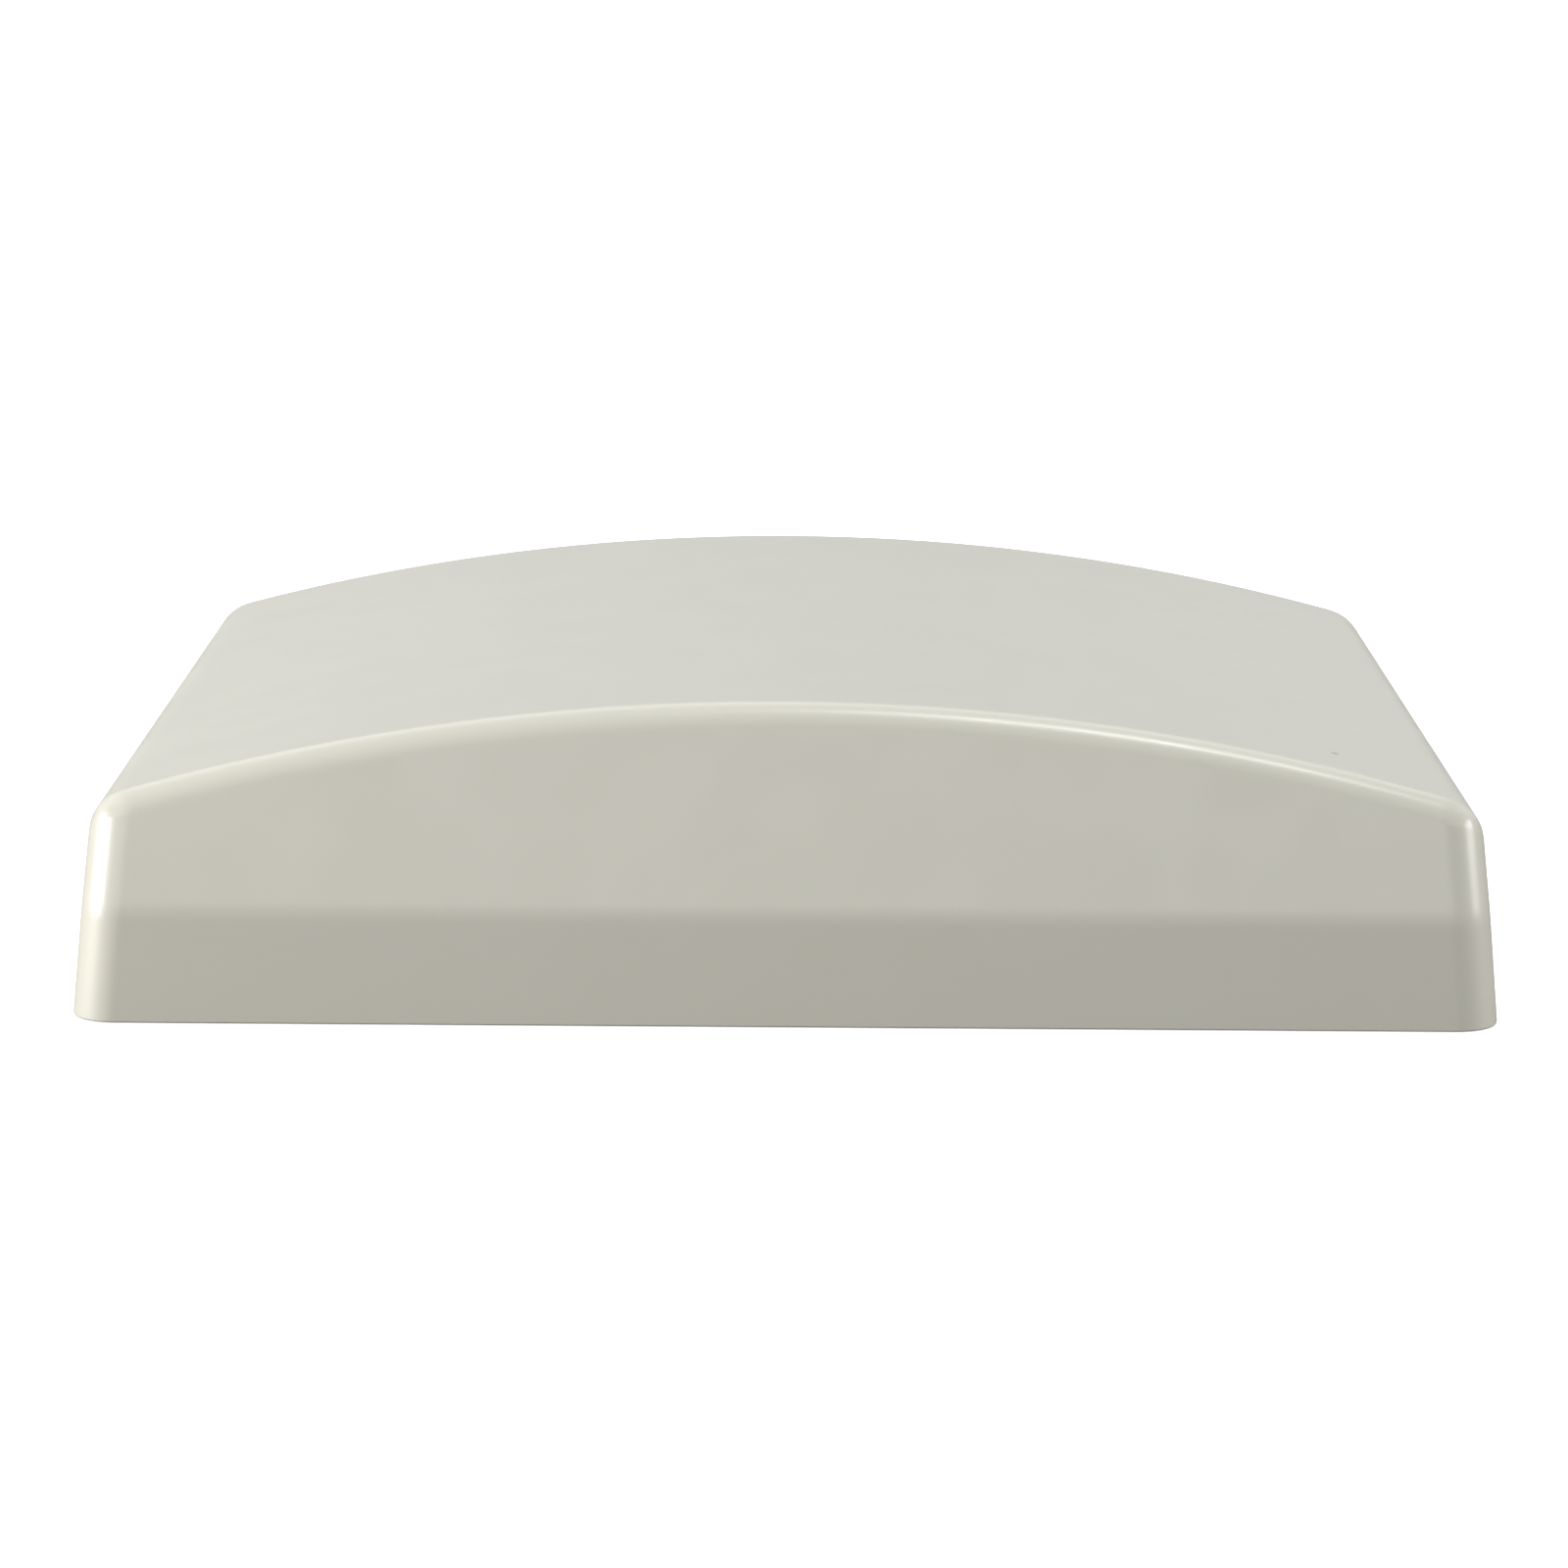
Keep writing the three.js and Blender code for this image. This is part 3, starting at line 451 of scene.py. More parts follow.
def post(name, radius, start, end, sides=48):
    """A round post between two points, along Z or Y."""
    start, end = Vector(start), Vector(end)
    along = end - start
    lying = abs(along.y) > abs(along.z)
    return started(
        name,
        bpy.ops.mesh.primitive_cylinder_add,
        vertices=sides,
        radius=radius,
        depth=along.length,
        location=tuple((start + end) / 2),
        rotation=(math.pi / 2 if lying else 0, 0, 0),
    )


def upright(name, radius, at, bottom, top, sides=32):
    """A post along Z through a point, between two heights."""
    return post(name, radius, (at.x, at.y, bottom), (at.x, at.y, top), sides)


def chained(name, points):
    """A line of edges through points."""
    piece = started(name, bpy.ops.mesh.primitive_plane_add, size=MM)
    pick_all(piece)
    bpy.ops.mesh.merge(type="CENTER")
    bpy.ops.transform.translate(value=tuple(points[0]))
    for here, there in zip(points, points[1:]):
        extrude_by(Vector(there) - Vector(here))
    return piece


def turned(name, profile, base=(0, 0, 0), axis=Z, steps=48):
    """A solid of revolution. The profile pairs radius and height in millimetres, and starts and ends
    on the axis or closes on itself."""
    base = Vector(base)
    points = [base + X * radius * MM + axis * height * MM for radius, height in profile]
    piece = chained(name, points)
    bpy.ops.mesh.select_all(action="SELECT")
    bpy.ops.mesh.spin(steps=steps, angle=2 * math.pi, center=tuple(base), axis=tuple(axis))
    done()
    return tidy(piece)


def threaded(name, root, crest, pitch, bottom, top, base=(0, 0, 0), axis=Z, steps=36):
    """A solid rod with a helical thread, cut square at both ends. Sizes are in millimetres."""
    base = Vector(base)
    rise = [(root, 0), (root, 0.12), (crest, 0.44), (crest, 0.56), (root, 0.88), (root, 1)]
    start = bottom - 1.37 * pitch
    points = [base + X * r * MM + axis * (start + h * pitch) * MM for r, h in rise]
    piece = chained(name, points)
    done()
    choose(piece)
    bpy.ops.object.modifier_add(type="SCREW")
    screw = piece.modifiers[-1]
    centre = bpy.data.objects.new("thread_centre", None)
    bpy.context.scene.collection.objects.link(centre)
    centre.location = base
    screw.object = centre
    screw.axis = "Z" if axis == Z else "Y"
    screw.angle = 2 * math.pi
    screw.screw_offset = pitch * MM
    screw.iterations = math.ceil((top - bottom) / pitch) + 3
    screw.steps = steps
    screw.render_steps = steps
    screw.use_merge_vertices = True
    bpy.ops.object.modifier_apply(modifier=screw.name)
    bpy.data.objects.remove(centre)
    tidy(piece)
    pick_all(piece)
    bpy.ops.mesh.fill_holes(sides=0)
    bpy.ops.mesh.normals_make_consistent(inside=False)
    done()
    reach = post("reach", 2 * crest * MM, base + axis * bottom * MM, base + axis * top * MM, 24)
    combine(piece, reach, "INTERSECT")
    return tidy(piece)


def six_sided(name, flats, bottom, top, base=(0, 0, 0), axis=Z):
    """A six-sided prism with eased corners, by its width across the flats, in millimetres."""
    base = Vector(base)
    radius = flats / 2 / math.cos(math.pi / 6) * MM
    piece = post(name, radius, base + axis * bottom * MM, base + axis * top * MM, sides=6)
    pick(piece, "EDGE", lambda e: abs((e.verts[0].co - e.verts[1].co).normalized().dot(axis)) > 0.9)
    bevel_picked(0.012 * flats * MM, 2)
    return piece


def driver_cross(name, reach, depth, top, base, up=1):
    """The tapered cross that a driver leaves in a screw head, cut from its top. In millimetres."""
    wings = []
    for turn in (0, 1):
        long, wide = reach * MM, reach * 0.27 * MM
        size = (long, wide) if turn == 0 else (wide, long)
        low = Vector((base[0] - size[0] / 2, base[1] - size[1] / 2, base[2] + (top - up * depth) * MM))
        high = Vector((base[0] + size[0] / 2, base[1] + size[1] / 2, base[2] + (top + up * 0.4) * MM))
        bottom, roof = min(low.z, high.z), max(low.z, high.z)
        wing = block(f"{name}_{turn}", (low.x, low.y, bottom), (high.x, high.y, roof))
        deep = bottom if up > 0 else roof
        pick(wing, "FACE", lambda f: all(abs(v.co.z - deep) < 1e-7 for v in f.verts))
        bpy.ops.transform.resize(value=(0.45, 0.45, 1), center_override=(base[0], base[1], deep))
        done()
        wings.append(wing)
    return combine(wings[0], wings[1], "UNION")


def hand_over(piece, node, material):
    """The piece stands for its node, rides on the node's body and gets its finish."""
    piece.data.materials.clear()
    piece.data.materials.append(material)
    nodes = [node] if isinstance(node, str) else node
    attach(piece, "cap" if nodes[0] == "jack_cap" else "antenna")
    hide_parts(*nodes)
    return piece


def repeat(piece, nodes, material):
    """A finished piece stands for the first of its like nodes, and a copy of it for each other."""
    stem = piece.name.rsplit("_", 1)[0]
    for n, node in enumerate(nodes[1:], 2):
        copy = again(piece, f"{stem}_{n}", middle(node) - middle(nodes[0]))
        hand_over(copy, node, material)
    hand_over(piece, nodes[0], material)


# ---------------------------------------------------------------- effects that finishes share


def node_group(name, inputs, outputs):
    """An empty shader group with its sockets, and its two ends."""
    tree = bpy.data.node_groups.new(name, "ShaderNodeTree")
    for label, kind, value in inputs:
        socket = tree.interface.new_socket(label, in_out="INPUT", socket_type=kind)
        if value is not None:
            socket.default_value = value
    for label, kind in outputs:
        tree.interface.new_socket(label, in_out="OUTPUT", socket_type=kind)
    return tree, tree.nodes.new("NodeGroupInput"), tree.nodes.new("NodeGroupOutput")


def add_node(tree, kind, **settings):
    node = tree.nodes.new(kind)
    for key, value in settings.items():
        setattr(node, key, value)
    return node


def maths(tree, operation, first, second=None):
    """A Math node. Each of its two values is a socket or a number."""
    node = add_node(tree, "ShaderNodeMath", operation=operation)
    for socket, value in zip(node.inputs, (first, second)):
        if isinstance(value, (int, float)):
            socket.default_value = value
        elif value is not None:
            tree.links.new(value, socket)
    return node.outputs[0]


def remapped(tree, value, low, high, to_low=0.0, to_high=1.0):
    """A value moved smoothly from one range to another."""
    node = add_node(tree, "ShaderNodeMapRange", interpolation_type="SMOOTHSTEP")
    for key, number in (("From Min", low), ("From Max", high), ("To Min", to_low), ("To Max", to_high)):
        if isinstance(number, (int, float)):
            node.inputs[key].default_value = number
        else:
            tree.links.new(number, node.inputs[key])
    tree.links.new(value, node.inputs["Value"])
    return node.outputs["Result"]


def noise(tree, vector, scale, detail=3.0, roughness=0.5):
    node = add_node(tree, "ShaderNodeTexNoise", noise_dimensions="3D")
    tree.links.new(vector, node.inputs["Vector"])
    if isinstance(scale, (int, float)):
        node.inputs["Scale"].default_value = scale
    else:
        tree.links.new(scale, node.inputs["Scale"])
    node.inputs["Detail"].default_value = detail
    node.inputs["Roughness"].default_value = roughness
    return node.outputs["Fac"]


def moulded_grain_group():
    """Fine orange-peel grain of a moulded surface."""
    tree, given, made = node_group(
        "Moulded grain",
        [("Vector", "NodeSocketVector", None), ("Scale", "NodeSocketFloat", 900.0)],
        [("Height", "NodeSocketFloat"), ("Sheen", "NodeSocketFloat")],
    )
    vector, scale = given.outputs["Vector"], given.outputs["Scale"]
    coarse = noise(tree, vector, scale, detail=2.0)
    fine = noise(tree, vector, maths(tree, "MULTIPLY", scale, 3.7), detail=1.0)
    height = maths(tree, "ADD", maths(tree, "MULTIPLY", coarse, 0.7), maths(tree, "MULTIPLY", fine, 0.3))
    tree.links.new(height, made.inputs["Height"])
    slow = noise(tree, vector, maths(tree, "MULTIPLY", scale, 0.06), detail=1.0)
    tree.links.new(remapped(tree, slow, 0.3, 0.7), made.inputs["Sheen"])
    return tree


def colour_drift_group():
    """Slow, cloudy drift from one shade to another."""
    tree, given, made = node_group(
        "Colour drift",
        [("Vector", "NodeSocketVector", None), ("Scale", "NodeSocketFloat", 20.0)],
        [("Mask", "NodeSocketFloat")],
    )
    cloud = noise(tree, given.outputs["Vector"], given.outputs["Scale"], detail=2.0)
    tree.links.new(remapped(tree, cloud, 0.22, 0.78), made.inputs["Mask"])
    return tree


def dust_specks_group():
    """Small dark specks, far apart and of mixed sizes."""
    tree, given, made = node_group(
        "Dust specks",
        [
            ("Vector", "NodeSocketVector", None),
            ("Scale", "NodeSocketFloat", 60.0),
            ("Size", "NodeSocketFloat", 0.03),
            ("Share", "NodeSocketFloat", 0.2),
        ],
        [("Mask", "NodeSocketFloat")],
    )
    cells = add_node(tree, "ShaderNodeTexVoronoi", feature="F1")
    tree.links.new(given.outputs["Vector"], cells.inputs["Vector"])
    tree.links.new(given.outputs["Scale"], cells.inputs["Scale"])
    split = add_node(tree, "ShaderNodeSeparateColor")
    tree.links.new(cells.outputs["Color"], split.inputs["Color"])
    kept = maths(tree, "LESS_THAN", split.outputs["Red"], given.outputs["Share"])
    size = maths(tree, "MULTIPLY", given.outputs["Size"], maths(tree, "ADD", split.outputs["Green"], 0.4))
    spot = maths(tree, "LESS_THAN", cells.outputs["Distance"], size)
    strength = maths(tree, "ADD", maths(tree, "MULTIPLY", split.outputs["Blue"], 0.6), 0.3)
    mask = maths(tree, "MULTIPLY", maths(tree, "MULTIPLY", spot, kept), strength)
    tree.links.new(mask, made.inputs["Mask"])
    return tree


def worn_edge_group():
    """Outside edges, broken up by noise."""
    tree, given, made = node_group(
        "Worn edges",
        [
            ("Vector", "NodeSocketVector", None),
            ("Scale", "NodeSocketFloat", 300.0),
            ("Start", "NodeSocketFloat", 0.54),
            ("Full", "NodeSocketFloat", 0.64),
        ],
        [("Mask", "NodeSocketFloat")],
    )
    shape = add_node(tree, "ShaderNodeNewGeometry")
    edge = remapped(tree, shape.outputs["Pointiness"], given.outputs["Start"], given.outputs["Full"])
    patchy = noise(tree, given.outputs["Vector"], given.outputs["Scale"], detail=4.0, roughness=0.65)
    mask = maths(tree, "MULTIPLY", edge, remapped(tree, patchy, 0.35, 0.6))
    tree.links.new(mask, made.inputs["Mask"])
    return tree


def tool_marks_group():
    """Fine lines left by rolling, brushing or turning. The vector is stretched along the lines."""
    tree, given, made = node_group(
        "Tool marks",
        [("Vector", "NodeSocketVector", None), ("Scale", "NodeSocketFloat", 400.0)],
        [("Height", "NodeSocketFloat"), ("Shade", "NodeSocketFloat")],
    )
    lines = noise(tree, given.outputs["Vector"], given.outputs["Scale"], detail=6.0, roughness=0.7)
    tree.links.new(lines, made.inputs["Height"])
    broad = noise(
        tree, given.outputs["Vector"], maths(tree, "MULTIPLY", given.outputs["Scale"], 0.2), detail=3.0
    )
    tree.links.new(remapped(tree, broad, 0.3, 0.7), made.inputs["Shade"])
    return tree


# ---------------------------------------------------------------- finishes


class Finish:
    """One material in the making: its tree, its shader and its coordinates."""

    def __init__(self, name):
        self.material = bpy.data.materials.new(name)
        self.material.use_nodes = True
        self.tree = self.material.node_tree
        self.shader = self.tree.nodes["Principled BSDF"]
        place = add_node(self.tree, "ShaderNodeTexCoord")
        self.place = place.outputs["Object"]

    def stretched(self, scale):
        mapping = add_node(self.tree, "ShaderNodeMapping")
        mapping.inputs["Scale"].default_value = scale
        self.tree.links.new(self.place, mapping.inputs["Vector"])
        return mapping.outputs["Vector"]

    def effect(self, group, vector=None, **values):
        node = add_node(self.tree, "ShaderNodeGroup")
        node.node_tree = bpy.data.node_groups[group]
        self.tree.links.new(self.place if vector is None else vector, node.inputs["Vector"])
        for key, value in values.items():
            node.inputs[key].default_value = value
        return node.outputs

    def mixed(self, mask, first, second):
        """One colour where the mask is 0, another where it is 1. Each is a colour or a socket."""
        node = add_node(self.tree, "ShaderNodeMix", data_type="RGBA")
        self.tree.links.new(mask, node.inputs["Factor"])
        sockets = [s for s in node.inputs if s.type == "RGBA"]
        for socket, value in zip(sockets, (first, second)):
            if isinstance(value, bpy.types.NodeSocket):
                self.tree.links.new(value, socket)
            else:
                socket.default_value = (*value, 1.0)
        return [s for s in node.outputs if s.type == "RGBA"][0]

    def paint(self, source):
        self.tree.links.new(source, self.shader.inputs["Base Color"])

    def rough(self, mask, low, high):
        self.tree.links.new(
            remapped(self.tree, mask, 0.0, 1.0, low, high), self.shader.inputs["Roughness"]
        )

    def bumped(self, height, strength, distance):
        bump = add_node(self.tree, "ShaderNodeBump")
        bump.inputs["Strength"].default_value = strength
        bump.inputs["Distance"].default_value = distance
        self.tree.links.new(height, bump.inputs["Height"])
        self.tree.links.new(bump.outputs["Normal"], self.shader.inputs["Normal"])

    def set(self, **values):
        for key, value in values.items():
            self.shader.inputs[key.replace("_", " ")].default_value = value


def darker(tone, share):
    return tuple(part * share for part in tone)


def housing_finish(name, light, dark, specks):
    """Semi-gloss weatherproof moulding: cloudy tone, fine grain, a little dust and rubbed edges."""
    finish = Finish(name)
    drift = finish.effect("Colour drift", Scale=9.0)["Mask"]
    worn = finish.effect("Worn edges", Scale=260.0, Start=0.53, Full=0.6)["Mask"]
    base = finish.mixed(drift, light, dark)
    rubbed = finish.mixed(
        maths(finish.tree, "MULTIPLY", worn, 0.35), base, tuple(min(1.0, part * 1.12) for part in light)
    )
    dust = finish.effect("Dust specks", Scale=62.0, Size=0.034, Share=specks)["Mask"]
    finish.paint(finish.mixed(dust, rubbed, (0.06, 0.05, 0.045)))
    grain = finish.effect("Moulded grain", Scale=1400.0)
    finish.rough(grain["Sheen"], 0.285, 0.325)
    finish.bumped(grain["Height"], 0.12, 0.02 * MM)
    return finish.material


def soft_finish(name, tone, low, high, grain_scale, depth, drift_share=0.8):
    """Plain moulded or rubbery pieces."""
    finish = Finish(name)
    drift = finish.effect("Colour drift", Scale=120.0)["Mask"]
    base = finish.mixed(drift, tone, darker(tone, drift_share))
    worn = finish.effect("Worn edges", Scale=700.0)["Mask"]
    pale = tuple(min(1.0, part * 1.25 + 0.01) for part in tone)
    finish.paint(finish.mixed(maths(finish.tree, "MULTIPLY", worn, 0.6), base, pale))
    grain = finish.effect("Moulded grain", Scale=grain_scale)
    finish.rough(grain["Sheen"], low, high)
    finish.bumped(grain["Height"], 0.4, depth)
    return finish


def metal_finish(name, tone, low, high, stretch, marks, depth, stain=0.78):
    """Bare or plated metal with lines from its making, dull patches and bright edges."""
    finish = Finish(name)
    lined = finish.stretched(stretch)
    lines = finish.effect("Tool marks", vector=lined, Scale=marks)
    drift = finish.effect("Colour drift", Scale=90.0)["Mask"]
    base = finish.mixed(drift, tone, darker(tone, stain))
    shaded = finish.mixed(
        maths(finish.tree, "MULTIPLY", lines["Shade"], 0.35), base, darker(tone, 0.88)
    )
    worn = finish.effect("Worn edges", Scale=500.0)["Mask"]
    finish.paint(finish.mixed(worn, shaded, tuple(min(1.0, part * 1.2) for part in tone)))
    finish.rough(lines["Shade"], low, high)
    finish.bumped(lines["Height"], 0.3, depth)
    finish.set(Metallic=1.0)
    return finish.material


def make_effects():
    moulded_grain_group()
    colour_drift_group()
    dust_specks_group()
    worn_edge_group()
    tool_marks_group()


def make_finishes(tones):
    """Every finish, by the name that the pieces ask for."""
    # How the tool marks are stretched: along X on sheet, and round the axis on turned pieces.
    sheet = (1.0, 26.0, 26.0)
    turned_y = (3.0, 60.0, 3.0)
    turned_z = (3.0, 3.0, 60.0)
    made = {
        "housing": housing_finish("Moulded housing", tones.housing[:], tones.housing_dark[:], 0.16),
        "silicone": soft_finish("Grey silicone", tones.silicone[:], 0.6, 0.75, 1800.0, 0.02 * MM).material,
        "steel": metal_finish("Stainless steel", tones.steel[:], 0.2, 0.36, turned_z, 300.0, 0.01 * MM),
        "washer": metal_finish("Washer steel", tones.steel[:], 0.25, 0.4, turned_y, 300.0, 0.01 * MM),
        "brass": metal_finish("Turned brass", tones.brass[:], 0.24, 0.4, turned_z, 300.0, 0.01 * MM),
        "brass_sheet": metal_finish("Brass sheet", tones.brass[:], 0.26, 0.42, sheet, 120.0, 0.01 * MM),
        "gold": metal_finish("Gold plate", tones.gold[:], 0.14, 0.26, turned_y, 500.0, 0.005 * MM, 0.9),
        "nickel": metal_finish(
            "Nickel plate", tones.nickel[:], 0.16, 0.3, turned_y, 400.0, 0.01 * MM, 0.86
        ),
        "aluminium": metal_finish(
            "Mill aluminium", tones.aluminium[:], 0.3, 0.48, sheet, 120.0, 0.015 * MM
        ),
        "nylon": soft_finish("Natural nylon", tones.nylon[:], 0.38, 0.52, 1500.0, 0.01 * MM, 0.92).material,
        "ptfe": soft_finish("White insulator", tones.ptfe[:], 0.3, 0.45, 900.0, 0.01 * MM, 0.95).material,
        "jacket": soft_finish("Tan jacket", tones.jacket[:], 0.3, 0.42, 1100.0, 0.02 * MM).material,
        "vent": soft_finish("Black breather", tones.vent[:], 0.45, 0.6, 1600.0, 0.02 * MM).material,
        "cap": soft_finish("Black cap", tones.cap[:], 0.42, 0.58, 1300.0, 0.03 * MM).material,
    }
    label = Finish("Label film")
    lines = label.effect("Tool marks", vector=label.stretched((1.0, 40.0, 1.0)), Scale=200.0)
    label.paint(label.mixed(lines["Shade"], tones.label[:], darker(tones.label, 0.9)))
    label.rough(lines["Shade"], 0.28, 0.4)
    label.bumped(lines["Height"], 0.15, 0.005 * MM)
    label.set(Metallic=0.6)
    made["label"] = label.material
    for part in ("nylon", "ptfe"):
        shader = made[part].node_tree.nodes["Principled BSDF"]
        shader.inputs["Subsurface Weight"].default_value = 0.15
        shader.inputs["Subsurface Radius"].default_value = (0.002, 0.0018, 0.0014)
    return made


FINISHES = {}  # filled by main, and read by the steps


# ---------------------------------------------------------------- radome


def eave_half(sizes):
    """Half the width at the eaves, where side wall and roof would meet."""
    return sizes.rim_width / 2 - sizes.eave_height * math.tan(sizes.side_draft)


def roof_height(sizes, x, inset):
    """Height of the arched roof over x, on a surface that lies inside the outside by the inset."""
    radius = arch_radius(sizes)
    return sizes.crown_height - radius + math.sqrt((radius - inset) ** 2 - x * x)


def arch_radius(sizes):
    half = eave_half(sizes)
    rise = sizes.crown_height - sizes.eave_height
    return (half * half + rise * rise) / (2 * rise)


def end_inset(sizes, z):
    """How far the end wall has leaned in at a height, with its crease softened."""
    low, high = math.tan(sizes.lower_end_draft), math.tan(sizes.upper_end_draft)
    above, blend = z - sizes.crease_height, sizes.crease_blend
    if above <= -blend:
        return z * low
    if above >= blend:
        return z * low + above * (high - low)
    return z * low + (above + blend) ** 2 / (4 * blend) * (high - low)


def wall_half(sizes, z, inset):
    """Half the width and half the length at a height, inside the outside by the inset."""
    return (
        sizes.rim_width / 2 - z * math.tan(sizes.side_draft) - inset,
        sizes.rim_length / 2 - end_inset(sizes, z) - inset,
    )


def arch_tool(name, sizes, inset, strips):
    """Everything under the arch, as a tool that trims a block to the roof."""
    reach = sizes.rim_width / 2 - sizes.eave_radius - 2 * MM
    outer = sizes.rim_width / 2 + 10 * MM
    long = sizes.rim_length / 2 + 10 * MM
    centre = Vector((0, 0, sizes.crown_height - arch_radius(sizes)))
    half = math.asin(reach / (arch_radius(sizes) - inset))
    tool = chained(name, [(-reach, -long, roof_height(sizes, reach, inset)),
                          (-reach, long, roof_height(sizes, reach, inset))])
    bpy.ops.mesh.select_all(action="SELECT")
    bpy.ops.mesh.spin(steps=strips, angle=2 * half, center=tuple(centre), axis=(0, -1, 0))
    done()
    drop = roof_height(sizes, outer, inset) - roof_height(sizes, reach, inset)
    for side in (-1, 1):
        pick(tool, "EDGE", lambda e: all(v.co.x * side > reach - 0.01 * MM for v in e.verts))
        extrude_by((side * (outer - reach), 0, drop))
        done()
    pick_all(tool)
    extrude_by((0, 0, -2 * sizes.crown_height))
    done()
    return tidy(tool)


def radome_form(name, sizes, inset, bottom, segments):
    """The radome's closed outer form, or the same form inside it by an inset."""
    blend = sizes.crease_blend
    levels = [bottom] + [sizes.crease_height + share * blend for share in (-1, -0.5, 0, 0.5, 1)]
    levels.append(sizes.crown_height + 4 * MM)
    form = started(name, bpy.ops.mesh.primitive_plane_add, size=2)
    half = wall_half(sizes, levels[0], inset)
    pick_all(form)
    bpy.ops.transform.resize(value=(half[0], half[1], 1), center_override=(0, 0, 0))
    bpy.ops.transform.translate(value=(0, 0, levels[0]))
    for here, there in zip(levels, levels[1:]):
        extrude_by((0, 0, there - here))
        grown = wall_half(sizes, there, inset)
        bpy.ops.transform.resize(
            value=(grown[0] / half[0], grown[1] / half[1], 1), center_override=(0, 0, there)
        )
        half = grown
    done()
    tidy(form)
    combine(form, arch_tool(f"{name}_arch", sizes, inset, 40), "INTERSECT")
    tidy(form)

    def offset(radius, turn):
        return max(radius - inset, 0.8 * MM) * math.tan(turn / 2)

    slope = math.asin(eave_half(sizes) / arch_radius(sizes))
    eave = offset(sizes.eave_radius, math.pi / 2 - sizes.side_draft - slope)
    brim = offset(sizes.brim_radius, math.pi / 2 - sizes.upper_end_draft)
    upright = offset(sizes.corner_radius, math.pi / 2)
    widest = max(eave, brim, upright)
    mesh = bmesh.new()
    mesh.from_mesh(form.data)
    weight = mesh.edges.layers.float.new("bevel_weight_edge")
    for edge in mesh.edges:
        faces = [face.normal for face in edge.link_faces]
        side = any(abs(n.x) > 0.9 for n in faces)
        end = any(abs(n.y) > 0.9 for n in faces)
        roof = any(n.z > 0.7 for n in faces)
        if side and end:
            edge[weight] = upright / widest
        elif side and roof:
            edge[weight] = eave / widest
        elif end and roof:
            edge[weight] = brim / widest
    mesh.to_mesh(form.data)
    mesh.free()
    modify(
        form,
        "BEVEL",
        width=widest,
        segments=segments,
        limit_method="WEIGHT",
        offset_type="OFFSET",
        use_clamp_overlap=False,
    )
    return tidy(form)


class ANTENNA_OT_radome(Operator):
    """Mould the arched radome: drafted walls, soft brim, ledge, screw posts and jack pad"""

    bl_idname = "antenna.radome"
    bl_label = "Radome"

    def execute(self, context):
        sizes = context.scene.antenna_radome
        shell = radome_form("radome_shell", sizes, 0.0, 0.0, 10)
        pick_foot(shell, 0)
        bevel_picked(sizes.rim_radius, 3)
        combine(shell, radome_form("hollow", sizes, sizes.skin, sizes.ledge_top, 6), "DIFFERENCE")
        for name, inset, top in (
            ("pocket", sizes.skin, sizes.ledge_bottom),
            ("throat", sizes.skin + sizes.ledge_width, sizes.ledge_top + CUT_PAST),
        ):
            radius = max(sizes.corner_radius - inset, 1 * MM)
            width, long = sizes.rim_width - 2 * inset, sizes.rim_length - 2 * inset
            combine(shell, rounded_block(name, width, long, radius, -CUT_PAST, top), "DIFFERENCE")
        spots = [middle(node) for node in COVER_SCREWS]
        bosses = united([
            upright(f"boss_{n}", sizes.boss_radius, at, sizes.boss_bottom, sizes.crown_height)
            for n, at in enumerate(spots)
        ])
        combine(bosses, radome_form("reach", sizes, sizes.skin / 2, 1 * MM, 3), "INTERSECT")
        combine(shell, bosses, "UNION")
        drills = united([
            upright(f"pilot_{n}", sizes.pilot_radius, at, -CUT_PAST, sizes.pilot_depth, 24)
            for n, at in enumerate(spots)
        ])
        combine(shell, drills, "DIFFERENCE")
        face = RADOME_HIGH.y
        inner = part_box("jack_washer")[1].y + 0.3 * MM
        axis = JACK_AXIS
        pad = post("pad", sizes.pad_radius, axis + Y * inner, axis + Y * face, 96)
        pick(pad, "EDGE", lambda e: all(v.co.y > face - CLOSE for v in e.verts))
        bevel_picked(sizes.pad_edge, 3)
        combine(shell, pad, "UNION")
        start, end = axis + Y * (inner - CUT_PAST), axis + Y * (face + CUT_PAST)
        combine(shell, post("hole", sizes.jack_hole_radius, start, end, 64), "DIFFERENCE")
        tidy(shell)
        smoothed(shell, 28)
        hand_over(shell, "radome", FINISHES["housing"])
        return {"FINISHED"}


# ---------------------------------------------------------------- back


